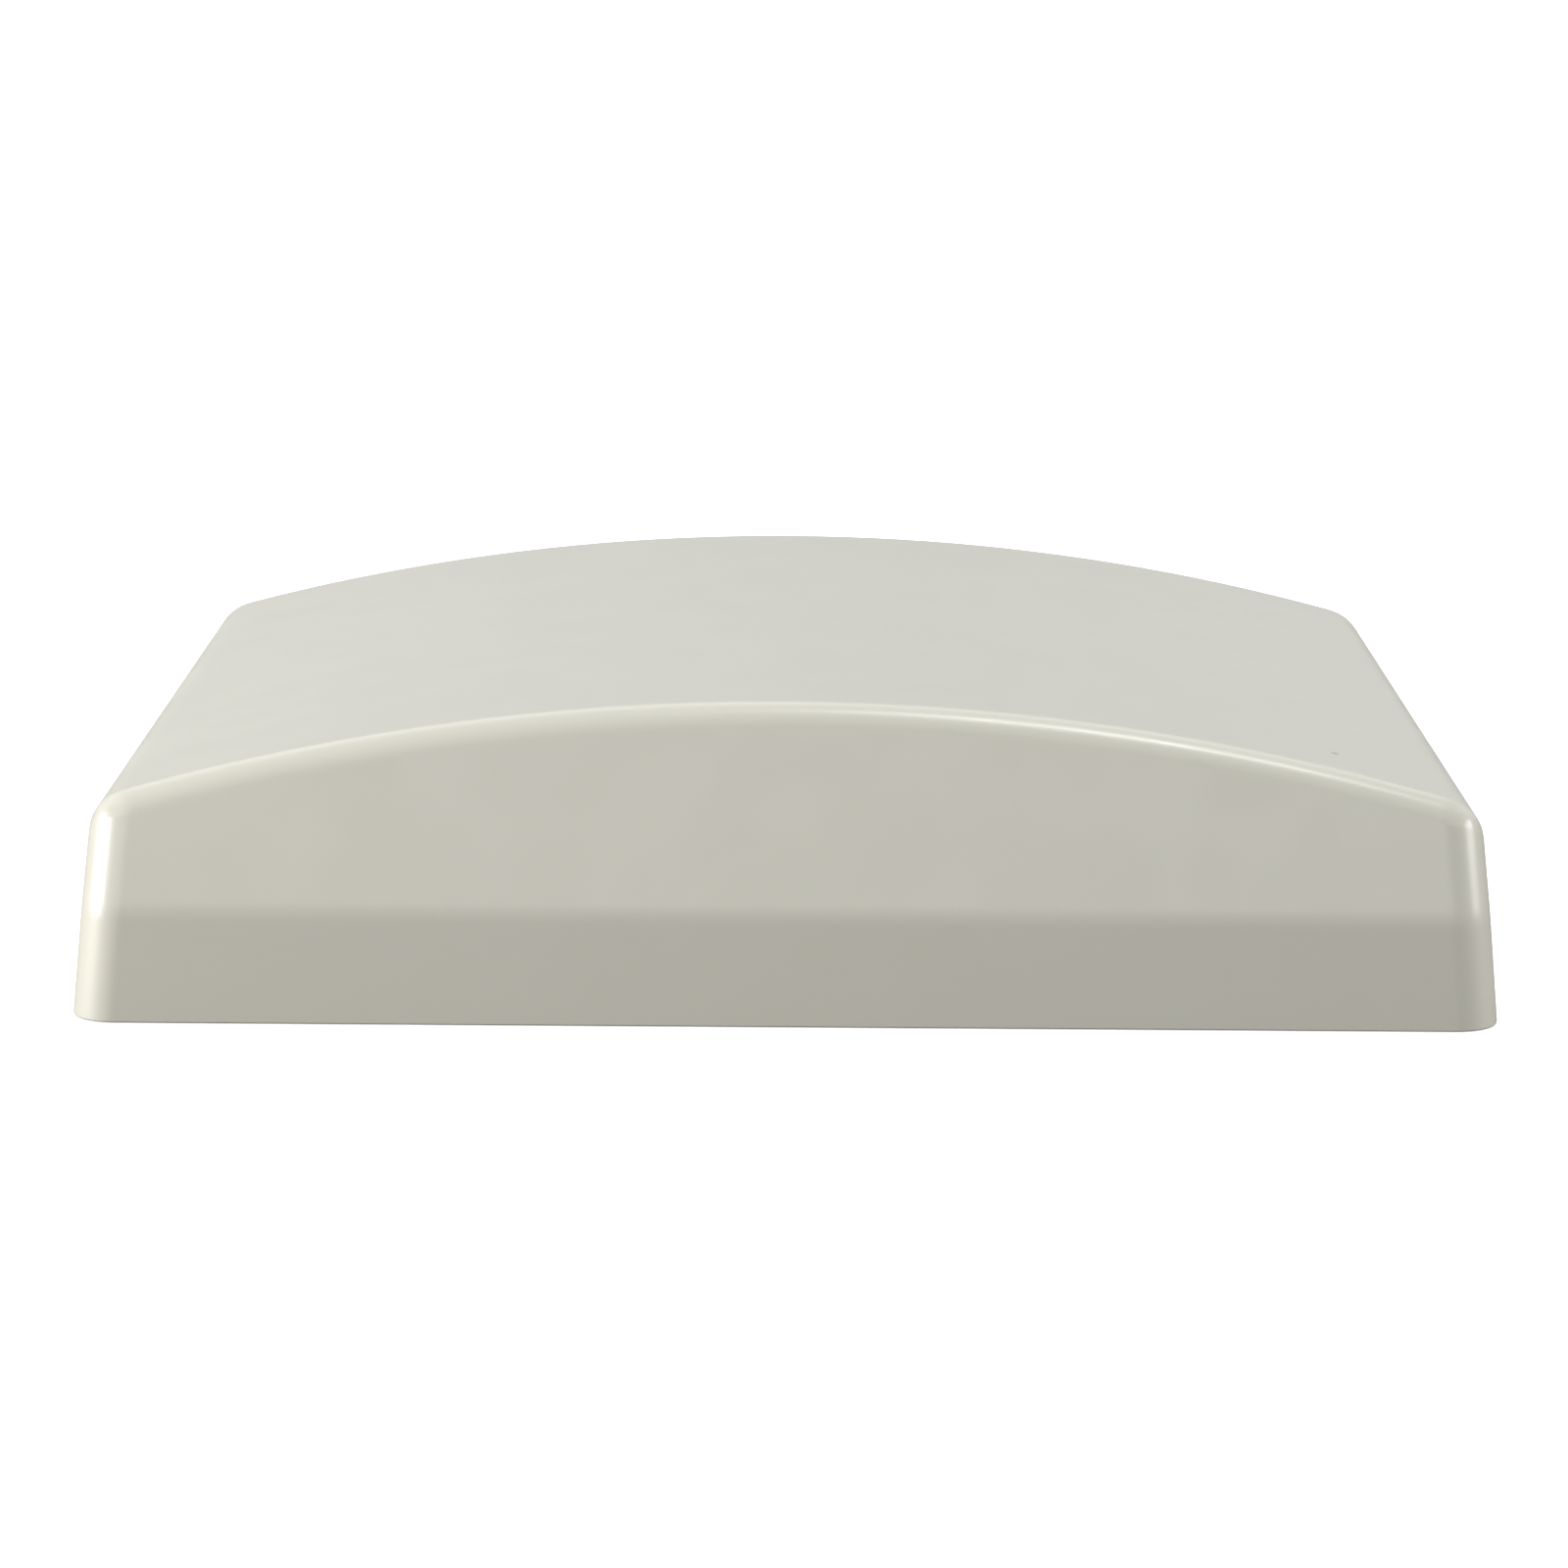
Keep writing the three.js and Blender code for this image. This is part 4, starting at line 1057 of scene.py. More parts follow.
class ANTENNA_OT_back_plate(Operator):
    """Mould the back plate with its pads, bosses, pillars, ribs and recesses"""

    bl_idname = "antenna.back_plate"
    bl_label = "Back plate"

    def execute(self, context):
        sizes = context.scene.antenna_back
        radome = context.scene.antenna_radome
        gap = sizes.clearance
        width, long = radome.rim_width - 2 * sizes.inset, radome.rim_length - 2 * sizes.inset
        corner = radome.corner_radius - sizes.inset
        plate = rounded_block("back_moulding", width, long, corner, 0, sizes.thickness)
        start = sizes.thickness - 0.5 * MM
        add, cut = [], []
        screws = [middle(node) for node in COVER_SCREWS]
        head = span("cover_screw_1").x / 2 + gap
        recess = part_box("cover_screw_1")[0].z + 2.4 * MM + gap
        top = sizes.thickness + sizes.screw_pad_height
        for n, at in enumerate(screws):
            add.append(upright(f"pad_{n}", sizes.screw_pad_radius, at, start, top))
            cut.append(upright(f"through_{n}", sizes.screw_hole_radius, at, -CUT_PAST, top + CUT_PAST, 24))
            cut.append(upright(f"recess_{n}", head, at, -CUT_PAST, recess, 40))
        low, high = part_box("bracket_insert_1")
        bore = (high.x - low.x) / 2 + gap
        roof = high.z + gap
        inserts = [middle(node) for node in INSERTS]
        for n, at in enumerate(inserts):
            add.append(upright(f"boss_{n}", bore + sizes.boss_wall, at, start, roof + sizes.boss_roof, 40))
            cut.append(upright(f"bore_{n}", bore, at, -CUT_PAST, roof, 40))
        pillar_top = TRAY_LOW.z - gap
        screw_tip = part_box(TRAY_SCREWS[0])[0].z
        for n, at in enumerate(middle(node) for node in TRAY_SCREWS):
            add.append(upright(f"pillar_{n}", sizes.pillar_radius, at, start, pillar_top))
            pilot = upright(
                f"pilot_{n}", sizes.tray_pilot_radius, at, screw_tip - 1 * MM, pillar_top + CUT_PAST, 20
            )
            cut.append(pilot)
        pitch = inserts[0].x
        run = pitch - bore
        top = sizes.thickness + sizes.rib_height
        for side in (-1, 1):
            near, far = side * pitch - sizes.rib_width / 2, side * pitch + sizes.rib_width / 2
            add.append(block(f"rib_x_{side + 1}", (-run, near, start), (run, far, top)))
            add.append(block(f"rib_y_{side + 1}", (near, -run, start), (far, run, top)))
        vent = Vector((0, middle("vent_plug").y, 0))
        vent_head = span("vent_plug").x / 2 + gap
        through = sizes.thickness + CUT_PAST
        cut.append(upright("vent_hole", sizes.vent_hole_radius, vent, -CUT_PAST, through))
        cut.append(upright("vent_seat", vent_head, vent, -CUT_PAST, sizes.vent_seat_depth, 48))
        label, size = middle("rating_label"), span("rating_label")
        cut.append(rounded_block("label_seat", size.x + 2 * gap, size.y + 2 * gap, sizes.label_corner + gap,
                                 -CUT_PAST, sizes.label_seat_depth, (label.x, label.y)))
        for piece in add:
            combine(plate, piece, "UNION")
        for piece in cut:
            combine(plate, piece, "DIFFERENCE")
        tidy(plate)
        pick_foot(plate, 0)
        bevel_picked(sizes.edge * 0.8, 2)
        modify(plate, "TRIANGULATE", ngon_method="BEAUTY")
        smoothed(plate, 30)
        hand_over(plate, "back_plate", FINISHES["housing"])

        low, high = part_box("rim_gasket")
        gasket = rounded_block("gasket_ring", high.x - low.x, high.y - low.y, corner, low.z, high.z)
        inner = 2 * sizes.gasket_width
        core = rounded_block("core", high.x - low.x - inner, high.y - low.y - inner,
                             max(corner - sizes.gasket_width, 1 * MM), low.z - CUT_PAST, high.z + CUT_PAST)
        combine(gasket, core, "DIFFERENCE")
        rounded(gasket, 0.35 * MM, 3, 60)
        smoothed(gasket)
        hand_over(gasket, "rim_gasket", FINISHES["silicone"])

        low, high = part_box("rating_label")
        film = rounded_block("label_film_blank", high.x - low.x, high.y - low.y, sizes.label_corner,
                             low.z, high.z, (label.x, label.y))
        rounded(film, 0.06 * MM, 2, 60)
        pick(film, "FACE", lambda f: f.normal.z < -0.9 and f.calc_area() > size.x * size.y / 2)
        bpy.ops.mesh.inset(thickness=1.2 * MM)
        bpy.ops.mesh.inset(thickness=0.25 * MM, depth=-0.04 * MM)
        done()
        smoothed(film)
        hand_over(film, "rating_label", FINISHES["label"])
        return {"FINISHED"}


class ANTENNA_OT_screws(Operator):
    """Turn the cover screws and tray screws, with threads and driver crosses"""

    bl_idname = "antenna.screws"
    bl_label = "Screws"

    def execute(self, context):
        sizes = context.scene.antenna_back
        at, _, tip = standing(COVER_SCREWS[0])
        head, tall, crest = 3.5, 2.4, 1.95
        body = turned("cover_screw_steel_1", [
            (0, 0), (head - 1.5, 0.02), (head - 0.75, 0.14), (head - 0.28, 0.42), (head - 0.05, 0.9),
            (head, 1.3), (head, tall - 0.15), (head - 0.15, tall), (1.5, tall), (1.45, tip - 2.2),
            (0.9, tip - 1.2), (0, tip),
        ], at, Z, 40)
        combine(body, driver_cross("cross", 3.9, 1.3, 0, at, up=-1), "DIFFERENCE")
        pitch = sizes.thread_pitch / MM
        thread = threaded("thread", 1.4, crest, pitch, tall + 0.7, tip - 2.0, at, Z, 28)
        screw = united([body, thread])
        smoothed(screw, 40)
        repeat(screw, COVER_SCREWS, FINISHES["steel"])

        _, at, long = standing(TRAY_SCREWS[0])
        body = turned("tray_screw_steel_1", [
            (0, 0), (1.6, -0.03), (2.3, -0.22), (2.68, -0.7), (2.75, -1.2), (2.75, -1.9), (2.65, -2.0),
            (1.15, -2.0), (1.1, 0.9 - long), (0, -long),
        ], at, Z, 36)
        combine(body, driver_cross("cross", 3.0, 1.1, 0, at, up=1), "DIFFERENCE")
        thread = threaded("thread", 1.05, 1.45, 1.0, 0.9 - long, -2.6, at, Z, 24)
        screw = united([body, thread])
        smoothed(screw, 40)
        repeat(screw, TRAY_SCREWS, FINISHES["steel"])
        return {"FINISHED"}


class ANTENNA_OT_inserts(Operator):
    """Turn the brass inserts, and mould the breather vent"""

    bl_idname = "antenna.inserts"
    bl_label = "Inserts and vent"

    def execute(self, context):
        at, _, tall = standing(INSERTS[0])
        outer, groove, lead, sides = 4.3, 3.9, 0.4, 64
        root, crest, pitch = 3.15, 2.65, 1.0
        teeth = []
        height = tall - lead
        while height - pitch > lead:
            teeth += [(root, height - 0.12 * pitch), (crest, height - 0.44 * pitch),
                      (crest, height - 0.56 * pitch), (root, height - 0.88 * pitch)]
            height -= pitch
        third = tall / 3
        insert = turned("insert_brass_1", [
            (root + 0.25, 0), (outer - 0.15, 0), (outer, 0.15), (outer, third), (groove, third + 0.25),
            (groove, 2 * third - 0.25), (outer, 2 * third), (outer, tall - 0.2), (outer - 0.2, tall),
            (root + 0.25, tall), *teeth, (root + 0.25, 0),
        ], at, Z, sides)

        def knurled(face):
            """Every other face round the outside, by its bearing."""
            out = face.calc_center_median() - at
            bearing = math.atan2(out.y, out.x) / (2 * math.pi) * sides
            outside = abs(face.normal.z) < 0.1 and out.xy.length > (outer - 0.1) * MM
            return outside and math.floor(bearing) % 2 == 0

        pick(insert, "FACE", knurled)
        bpy.ops.mesh.inset(thickness=0.06 * MM, depth=-0.12 * MM, use_individual=True)
        done()
        smoothed(insert, 30)
        repeat(insert, INSERTS, FINISHES["brass"])

        low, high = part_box("vent_plug")
        at = Vector((0, middle("vent_plug").y, low.z))
        tall = (high.z - low.z) / MM
        vent = turned("breather_plug", [
            (0, 0.55), (1.6, 0.55), (1.75, 0.4), (1.75, 0.1), (1.85, 0), (3.0, 0), (3.1, 0.1), (3.1, 0.4),
            (3.25, 0.5), (3.75, 0.5), (3.9, 0.4), (3.9, 0.1), (4.0, 0), (6.1, 0), (6.35, 0.1), (6.5, 0.4),
            (6.5, 1.25), (6.35, 1.4), (3.0, 1.4), (3.0, tall - 1.6), (3.2, tall - 1.4), (3.2, tall - 1.1),
            (2.7, tall), (0, tall),
        ], at, Z, 72)
        reach, half = 5.2 * MM, 0.45 * MM
        for n in range(3):
            bar = block(f"slot_{n}", (-reach, -half, -0.5 * MM), (reach, half, half))
            bar.rotation_euler.z = n * math.pi / 3
            bar.location = (at.x, at.y, 0)
            choose(bar)
            bpy.ops.object.transform_apply(location=True, rotation=True, scale=True)
            combine(vent, bar, "DIFFERENCE")
        smoothed(vent, 35)
        hand_over(vent, "vent_plug", FINISHES["vent"])
        return {"FINISHED"}


# ---------------------------------------------------------------- elements


def drilled(piece, radius, nodes, bottom, top):
    """Round holes through a sheet, one at each node."""
    for n, node in enumerate(nodes):
        hole = upright(f"hole_{n}", radius, middle(node), bottom - CUT_PAST, top + CUT_PAST)
        combine(piece, hole, "DIFFERENCE")


class ANTENNA_OT_elements(Operator):
    """Fold the reflector tray and cut the driven plate and the director"""

    bl_idname = "antenna.elements"
    bl_label = "Reflector, driven plate and director"

    def execute(self, context):
        sizes = context.scene.antenna_elements
        size = TRAY_HIGH - TRAY_LOW
        sheet = sizes.tray_sheet
        tray = rounded_block("tray_sheet", size.x, size.y, sizes.tray_corner, TRAY_LOW.z, TRAY_HIGH.z)
        pick_foot(tray, TRAY_LOW.z)
        bevel_picked(sizes.bend_radius + sheet, 5)
        floor = TRAY_LOW.z + sheet
        core = rounded_block("core", size.x - 2 * sheet, size.y - 2 * sheet, sizes.tray_corner - sheet,
                             floor, TRAY_HIGH.z + 5 * MM)
        pick_foot(core, floor)
        bevel_picked(sizes.bend_radius, 4)
        combine(tray, core, "DIFFERENCE")
        drilled(tray, sizes.screw_hole_radius, TRAY_SCREWS, TRAY_LOW.z, floor)
        drilled(tray, sizes.hole_radius, COLUMNS, TRAY_LOW.z, floor)
        wide, lip = 2 * sizes.coax_radius, size.y / 2
        low, high = (-wide, lip - 3 * MM, floor), (wide, lip + 3 * MM, TRAY_HIGH.z + CUT_PAST)
        combine(tray, block("notch", low, high), "DIFFERENCE")
        tidy(tray)
        smoothed(tray, 30)
        hand_over(tray, "reflector_tray", FINISHES["aluminium"])

        low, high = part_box("driven_element")
        driven = block("driven_plate", low, high)
        for side in (-1, 1):
            near = side * sizes.slot_offset - sizes.slot_width / 2
            slot = block("slot", (near, low.y - CUT_PAST, low.z - CUT_PAST),
                         (near + sizes.slot_width, low.y + sizes.slot_length, high.z + CUT_PAST))
            combine(driven, slot, "DIFFERENCE")
        drilled(driven, sizes.hole_radius, COLUMNS, low.z, high.z)
        feed = Vector((0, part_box("feed_pin")[0].y + sizes.pin_radius, 0))
        hole = upright("hole", sizes.pin_hole_radius, feed, low.z - CUT_PAST, high.z + CUT_PAST, 24)
        combine(driven, hole, "DIFFERENCE")
        tidy(driven)
        rounded(driven, sizes.sheet_edge, 2, 50)
        smoothed(driven, 30)
        hand_over(driven, "driven_element", FINISHES["brass_sheet"])

        low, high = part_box("director_element")
        director = block("director_plate", low, high)
        pick(director, "EDGE", lambda e: abs(e.verts[0].co.z - e.verts[1].co.z) > 0.5 * MM)
        bevel_picked(sizes.director_corner, 1)
        drilled(director, sizes.hole_radius, COLUMNS, low.z, high.z)
        tidy(director)
        rounded(director, sizes.sheet_edge, 2, 50)
        smoothed(director, 30)
        hand_over(director, "director_element", FINISHES["aluminium"])
        return {"FINISHED"}


class ANTENNA_OT_columns(Operator):
    """Turn the nylon spacers, bolts and nuts that carry the plates"""

    bl_idname = "antenna.columns"
    bl_label = "Nylon columns"

    def execute(self, context):
        pitch = context.scene.antenna_elements.bolt_pitch / MM
        for level in ("lower", "upper"):
            spacers = [f"{level}_spacer_{n}" for n in range(1, 5)]
            base, _, tall = standing(spacers[0])
            spacer = turned(f"{level}_spacer_nylon_1", [
                (1.8, 0), (3.35, 0), (3.5, 0.15), (3.5, tall - 0.15), (3.35, tall), (1.8, tall), (1.8, 0),
            ], base, Z, 40)
            smoothed(spacer, 30)
            repeat(spacer, spacers, FINISHES["nylon"])

        _, base, tall = standing(COLUMNS[0])
        head = turned("element_bolt_nylon_1", [
            (0, 0), (2.2, -0.02), (2.75, -0.3), (3.0, -0.8), (3.0, -2.1), (2.9, -2.2), (1.35, -2.2),
            (1.2, -2.4), (1.2, -2.9), (0, -2.9),
        ], base, Z, 40)
        combine(head, driver_cross("cross", 3.2, 1.2, 0, base, up=1), "DIFFERENCE")
        thread = threaded("thread", 1.22, 1.5, pitch, -tall, -2.6, base, Z, 20)
        bolt = united([head, thread])
        smoothed(bolt, 40)
        repeat(bolt, COLUMNS, FINISHES["nylon"])

        nuts = [f"element_nut_{n}" for n in range(1, 5)]
        base, _, tall = standing(nuts[0])
        nut = six_sided("element_nut_nylon_1", 5.5, 0, tall, base)
        rounded(nut, 0.18 * MM, 2, 40)
        hole = turned("hole", [
            (0, -0.5), (2.3, -0.5), (1.8, 0.35), (1.8, 2.05), (2.3, 2.9), (0, 2.9),
        ], base, Z, 32)
        combine(nut, hole, "DIFFERENCE")
        smoothed(nut, 30)
        repeat(nut, nuts, FINISHES["nylon"])
        return {"FINISHED"}


def drawn_wire(name, points, radius, ease):
    """Round wire along a line through points, as a mesh."""
    wire = started(name, bpy.ops.curve.primitive_nurbs_path_add)
    spline = wire.data.splines[0]
    wire.data.splines.remove(spline)
    wire.data.dimensions = "3D"
    line = wire.data.splines.new("NURBS")
    line.points.add(len(points) - 1)
    for point, place in zip(line.points, points):
        point.co = (*place, 1.0)
    line.order_u = ease
    line.use_endpoint_u = True
    line.resolution_u = 12
    wire.data.bevel_depth = radius
    wire.data.bevel_resolution = 8
    wire.data.use_fill_caps = True
    choose(wire)
    bpy.ops.object.convert(target="MESH")
    return tidy(wire)


class ANTENNA_OT_feed(Operator):
    """Lay the jumper inside, with its strap and feed pin"""

    bl_idname = "antenna.feed"
    bl_label = "Feed"

    def execute(self, context):
        sizes = context.scene.antenna_elements
        low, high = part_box("coax_jumper")
        radius = sizes.coax_radius
        axis, run = JACK_AXIS.z, low.z + radius
        saddle = middle("coax_saddle").y
        start, end = high.y, low.y
        points = [
            (0, start, axis), (0, start - 4 * MM, axis - 0.1 * MM), (0, start - 8 * MM, axis - 0.4 * MM),
            (0, (start + saddle) / 2, run + 0.3 * MM), (0, saddle + 8 * MM, run), (0, saddle, run),
            (0, end + 6 * MM, run), (0, end, run),
        ]
        jumper = drawn_wire("jumper_coax", points, radius, 4)
        smoothed(jumper, 40)
        hand_over(jumper, "coax_jumper", FINISHES["jacket"])

        low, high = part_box("feed_pin")
        r = sizes.pin_radius
        bend = 1.4 * MM
        at = low.y + r
        points = [
            (0, high.y, run), (0, at + 2 * bend, run), (0, at + bend, run),
            (0, at + bend * 0.4, run + 0.02 * MM), (0, at + 0.02 * MM, run + bend * 0.4),
            (0, at, run + bend), (0, at, run + 2 * bend), (0, at, high.z),
        ]
        pin = drawn_wire("feed_pin_gold", points, r, 3)
        smoothed(pin, 40)
        hand_over(pin, "feed_pin", FINISHES["gold"])

        low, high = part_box("coax_saddle")
        sheet = sizes.strap_sheet
        mean = radius + 0.3 * MM + sheet / 2
        foot, floor = high.x, low.z + sheet / 2
        ease, steps = 0.25 * MM, 16
        line = [(-foot, low.y, floor), (-mean - ease, low.y, floor), (-mean, low.y, floor + ease)]
        for step in range(steps + 1):
            turn = math.pi * (1 - step / steps)
            line.append((mean * math.cos(turn), low.y, run + mean * math.sin(turn)))
        line += [(mean, low.y, floor + ease), (mean + ease, low.y, floor), (foot, low.y, floor)]
        strap = chained("saddle_strap", line)
        bpy.ops.mesh.select_all(action="SELECT")
        extrude_by((0, high.y - low.y, 0))
        done()
        tidy(strap)
        modify(strap, "SOLIDIFY", thickness=sheet, offset=0.0, use_even_offset=True)
        rounded(strap, 0.1 * MM, 2, 50)
        tidy(strap)
        smoothed(strap, 30)
        hand_over(strap, "coax_saddle", FINISHES["brass_sheet"])
        return {"FINISHED"}


# ---------------------------------------------------------------- jack and cap


class ANTENNA_OT_jack(Operator):
    """Turn and plate the jack, with its insulator, contact, seal, washer and nut"""

    bl_idname = "antenna.jack"
    bl_label = "Jack"

    def execute(self, context):
        sizes = context.scene.antenna_jack
        origin, tall = on_jack("jack_body")
        barrel = 12
        flange_bottom = tall - barrel - sizes.flange_thickness / MM
        flange_top = tall - barrel
        crest, tail = sizes.thread_radius / MM, sizes.tail_radius / MM
        flats = 2 * (tail + 1.7)
        root = crest - sizes.thread_depth / MM
        body = turned("jack_shell", [
            (0, 0), (tail - 0.3, 0), (tail, 0.3), (tail, flange_bottom + 1),
            (root - 0.1, flange_bottom + 1), (root - 0.1, flange_top + 1.4),
            (root - 0.02, flange_top + 1.4), (root - 0.02, tall - 0.5), (root - 0.5, tall), (0, tall),
        ], origin, Y, 72)
        hexagon = six_sided("hexagon", flats, flange_bottom, flange_top, origin, Y)
        cone = turned("cone", [(0, flange_bottom - 2), (12.5, flange_bottom - 2), (12.5, flange_top - 2.2),
                               (9.4, flange_top + 0.15), (0, flange_top + 0.15)], origin, Y, 72)
        combine(hexagon, cone, "INTERSECT")
        combine(body, tidy(hexagon), "UNION")
        pitch = sizes.thread_pitch / MM
        thread = threaded("thread", root, crest, pitch, flange_top + 1.5, tall - 0.25, origin, Y, 60)
        tip = turned("tip", [(0, flange_top), (crest + 0.5, flange_top), (crest + 0.5, tall - 0.85),
                             (root - 0.35, tall + 0.1), (0, tall + 0.1)], origin, Y, 72)
        combine(thread, tip, "INTERSECT")
        combine(body, thread, "UNION")
        mouth, step, bore = sizes.mouth_radius / MM, tall - sizes.mouth_depth / MM, sizes.bore_radius / MM
        drill = turned("drill", [
            (0, -1), (bore, -1), (bore, step), (mouth, step), (mouth, tall - 0.45), (mouth + 0.45, tall),
            (mouth + 1, tall + 0.5), (0, tall + 0.5),
        ], origin, Y, 64)
        combine(body, drill, "DIFFERENCE")
        tidy(body, 0.002 * MM)
        smoothed(body, 33)
        hand_over(body, "jack_body", FINISHES["nickel"])

        base, long = on_jack("jack_insulator")
        ring = turned("jack_dielectric", [
            (1.9, 0), (3.1, 0), (3.3, 0.2), (3.3, long - 0.2), (3.1, long), (2.2, long), (1.9, long - 0.3),
            (1.9, 0),
        ], base, Y, 56)
        smoothed(ring, 30)
        hand_over(ring, "jack_insulator", FINISHES["ptfe"])

        base, long = on_jack("jack_contact")
        contact = turned("jack_contact_gold", [
            (0, 0), (1.3, 0), (1.6, 0.3), (1.6, long - 3.6), (1.55, long - 3.5), (1.55, long - 0.35),
            (1.25, long), (1.0, long), (0.85, long - 0.2), (0.85, long - 3.8), (0, long - 4),
        ], base, Y, 40)
        for size in ((0.2, 1.75), (1.75, 0.2)):
            slit = block("slit", base + Vector((-size[0] * MM, (long - 3.6) * MM, -size[1] * MM)),
                         base + Vector((size[0] * MM, (long + 1) * MM, size[1] * MM)))
            combine(contact, slit, "DIFFERENCE")
        smoothed(contact, 30)
        hand_over(contact, "jack_contact", FINISHES["gold"])

        low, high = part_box("jack_seal")
        thick = (high.y - low.y) / 2
        seal = started("jack_seal_ring", bpy.ops.mesh.primitive_torus_add,
                       location=tuple(middle("jack_seal")), rotation=(math.pi / 2, 0, 0),
                       major_segments=72, minor_segments=20,
                       major_radius=(high.x - low.x) / 2 - thick, minor_radius=thick)
        smoothed(seal, 60)
        hand_over(seal, "jack_seal", FINISHES["silicone"])

        base, thick = on_jack("jack_washer")
        rim = span("jack_washer").x / 2 / MM
        washer = turned("jack_washer_steel", [
            (8.1, 0.1), (8.2, 0), (rim - 0.15, 0), (rim, 0.15), (rim, thick - 0.15), (rim - 0.15, thick),
            (8.2, thick), (8.1, thick - 0.1), (8.1, 0.1),
        ], base, Y, 72)
        smoothed(washer, 30)
        hand_over(washer, "jack_washer", FINISHES["washer"])

        base, thick = on_jack("jack_nut")
        nut = six_sided("jack_nut_plated", flats, 0, thick, base, Y)
        cone = turned("cone", [
            (0, -0.1), (9.5, -0.1), (11.4, 0.85), (11.4, thick - 0.85), (9.5, thick + 0.1),
            (0, thick + 0.1),
        ], base, Y, 72)
        combine(nut, cone, "INTERSECT")
        hole = turned("hole", [(0, -0.5), (8.7, -0.5), (8.1, 0.25), (8.1, thick - 0.25), (8.7, thick + 0.5),
                               (0, thick + 0.5)], base, Y, 64)
        combine(nut, hole, "DIFFERENCE")
        tidy(nut)
        smoothed(nut, 30)
        hand_over(nut, "jack_nut", FINISHES["nickel"])
        return {"FINISHED"}


class ANTENNA_OT_cap(Operator):
    """Mould the dust cap with its grips"""

    bl_idname = "antenna.cap"
    bl_label = "Dust cap"

    def execute(self, context):
        sizes = context.scene.antenna_jack
        base, tall = on_jack("jack_cap")
        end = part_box("jack_cap")[1].y
        inner = sizes.thread_radius / MM + 0.3
        outer = inner + sizes.cap_wall / MM
        grip = sizes.cap_grip / MM
        roof = tall - sizes.cap_wall / MM
        cap = turned("dust_cap", [
            (inner + 0.25, 0), (outer + grip - 0.2, 0), (outer + grip, 0.2), (outer + grip, 1.3),
            (outer + grip - 0.2, 1.6), (outer, 2.0), (outer, tall - 1.3), (outer - 0.12, tall - 0.8),
            (outer - 0.42, tall - 0.3), (outer - 0.95, tall - 0.04), (outer - 1.4, tall),
            (3.4, tall), (3.15, tall - 0.12), (2.9, tall - 0.3), (0, tall - 0.34),
            (0, roof), (inner - 0.5, roof), (inner, roof - 0.5), (inner, 0.25), (inner + 0.25, 0),
        ], base, Y, 96)
        for n in range(sizes.cap_grips):
            turn = n / sizes.cap_grips * 2 * math.pi
            spot = base + Vector((math.cos(turn), 0, math.sin(turn))) * outer * MM
            rib = post("rib", sizes.cap_grip, spot + Y * 1.0 * MM, spot + Y * (tall - 1.7) * MM, 16)
            pick(rib, "EDGE", lambda e: all(v.co.y > end - 1.8 * MM for v in e.verts))
            bevel_picked(0.3 * MM, 3)
            combine(cap, rib, "UNION")
        smoothed(cap, 35)
        hand_over(cap, "jack_cap", FINISHES["cap"])
        return {"FINISHED"}


# ---------------------------------------------------------------- studio


def area_light(name, watts, size, seat, reach, tint=(1, 1, 1)):
    """A rectangular soft light that looks at the antenna. Its seat is the bearing from straight in
    front and the height above the floor, both in degrees."""
    clear_selection()
    bearing, height = math.radians(seat[0]), math.radians(seat[1])
    flat = math.cos(height)
    away = Vector((math.sin(bearing) * flat, -math.cos(bearing) * flat, math.sin(height)))
    centre = Vector((0, 0, CAD_BOX[1][2] / 2))
    bpy.ops.object.light_add(
        type="AREA", location=tuple(centre + away * reach), rotation=away.to_track_quat("Z", "Y").to_euler()
    )
    lamp = bpy.context.object
    lamp.name = name
    lamp.data.shape = "RECTANGLE"
    lamp.data.size, lamp.data.size_y = size
    lamp.data.energy = watts
    lamp.data.color = tint
    lamp.visible_camera = False


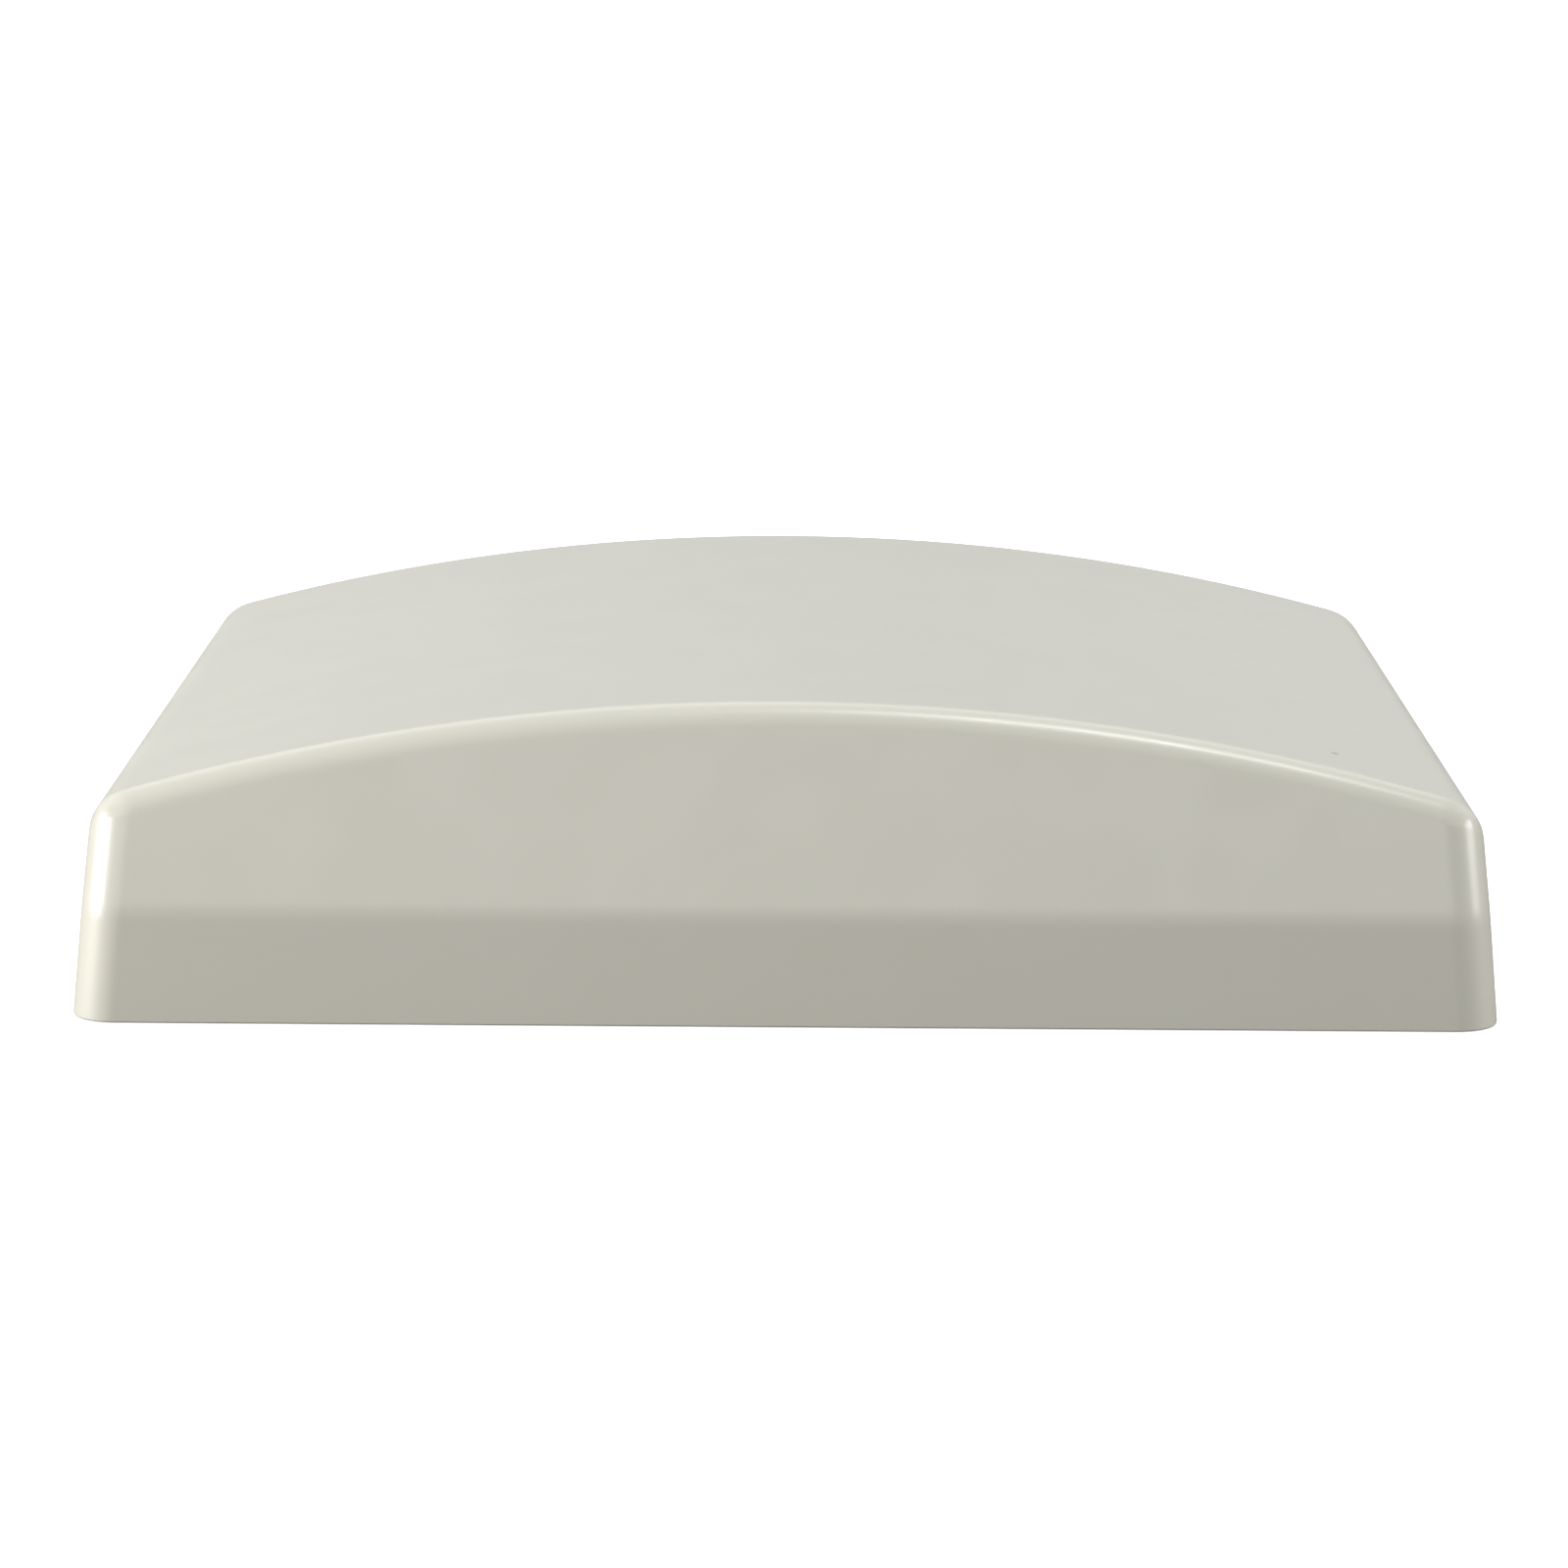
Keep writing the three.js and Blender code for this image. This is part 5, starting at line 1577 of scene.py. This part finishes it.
class ANTENNA_OT_studio(Operator):
    """Set the pale floor, the soft lights and the camera"""

    bl_idname = "antenna.studio"
    bl_label = "Studio"

    def execute(self, context):
        studio = context.scene.antenna_studio
        floor = started("floor", bpy.ops.mesh.primitive_plane_add, size=40, location=(0, 0, -0.1 * MM))
        paper = Finish("Pale floor")
        seen = add_node(paper.tree, "ShaderNodeLightPath").outputs["Is Camera Ray"]
        drift = paper.effect("Colour drift", Scale=3.0)["Mask"]
        pale = paper.mixed(drift, studio.floor[:], darker(studio.floor, 0.99))
        paper.paint(paper.mixed(seen, darker(studio.floor, studio.bounce), pale))
        glow = paper.mixed(seen, (0, 0, 0), (1, 1, 1))
        paper.tree.links.new(glow, paper.shader.inputs["Emission Color"])
        paper.set(Roughness=0.8, Specular_IOR_Level=0.2, Emission_Strength=studio.glow)
        floor.data.materials.append(paper.material)

        world = bpy.data.worlds.new("Room")
        context.scene.world = world
        world.use_nodes = True
        world.node_tree.nodes["Background"].inputs["Color"].default_value = (*studio.room, 1)
        world.node_tree.nodes["Background"].inputs["Strength"].default_value = studio.sky
        warm = (1.0, 0.985, 0.95)
        area_light("left_light", studio.left, (0.6, 0.24), (-76, 7), 1.1)
        area_light("right_light", studio.right, (0.9, 0.7), (84, 14), 2.2)
        area_light("back_light", studio.behind, (2.0, 1.2), (180, 48), 2.2)
        area_light("front_card", studio.card, (2.0, 0.3), (-6, 14), 1.9, warm)
        area_light("strip_light", studio.strip, (0.03, 0.42), (90, 77), 1.35)

        clear_selection()
        bpy.ops.object.camera_add()
        camera = context.object
        camera.name = "studio_camera"
        turn = (
            Matrix.Rotation(studio.azimuth, 4, "Z")
            @ Matrix.Rotation(math.pi / 2 - studio.pitch, 4, "X")
            @ Matrix.Rotation(studio.roll, 4, "Z")
        )
        aim = Vector((studio.aim_x, 0, studio.aim_z))
        back = turn.to_3x3() @ Z
        camera.matrix_world = Matrix.Translation(aim + back * studio.distance) @ turn
        camera.data.sensor_width = 36
        camera.data.lens = studio.lens
        camera.data.clip_start = 0.01
        camera.data.clip_end = 50
        context.scene.camera = camera
        context.scene.view_settings.view_transform = "Standard"
        return {"FINISHED"}


# ---------------------------------------------------------------- add-on


class ANTENNA_PT_sidebar(Panel):
    """Building steps of the panel antenna"""

    bl_idname = "ANTENNA_PT_sidebar"
    bl_label = "Panel Antenna"
    bl_space_type = "VIEW_3D"
    bl_region_type = "UI"
    bl_category = "Antenna"

    def draw(self, context):
        for step in STEPS:
            self.layout.operator(step.bl_idname)


STEPS = (
    ANTENNA_OT_studio,
    ANTENNA_OT_radome,
    ANTENNA_OT_back_plate,
    ANTENNA_OT_screws,
    ANTENNA_OT_inserts,
    ANTENNA_OT_elements,
    ANTENNA_OT_columns,
    ANTENNA_OT_feed,
    ANTENNA_OT_jack,
    ANTENNA_OT_cap,
)
SETTINGS = {
    "antenna_radome": RadomeSizes,
    "antenna_back": BackSizes,
    "antenna_elements": ElementSizes,
    "antenna_jack": JackSizes,
    "antenna_colours": FinishColours,
    "antenna_studio": StudioSettings,
}


def register():
    for group in SETTINGS.values():
        bpy.utils.register_class(group)
    for step in STEPS:
        bpy.utils.register_class(step)
    bpy.utils.register_class(ANTENNA_PT_sidebar)
    for name, group in SETTINGS.items():
        setattr(bpy.types.Scene, name, PointerProperty(type=group))


def unregister():
    for name in SETTINGS:
        delattr(bpy.types.Scene, name)
    bpy.utils.unregister_class(ANTENNA_PT_sidebar)
    for step in reversed(STEPS):
        bpy.utils.unregister_class(step)
    for group in SETTINGS.values():
        bpy.utils.unregister_class(group)


def main():
    register()
    make_effects()
    FINISHES.update(make_finishes(bpy.context.scene.antenna_colours))
    for step in STEPS:
        area, name = step.bl_idname.split(".")
        getattr(getattr(bpy.ops, area), name)()


if __name__ == "__main__":
    main()
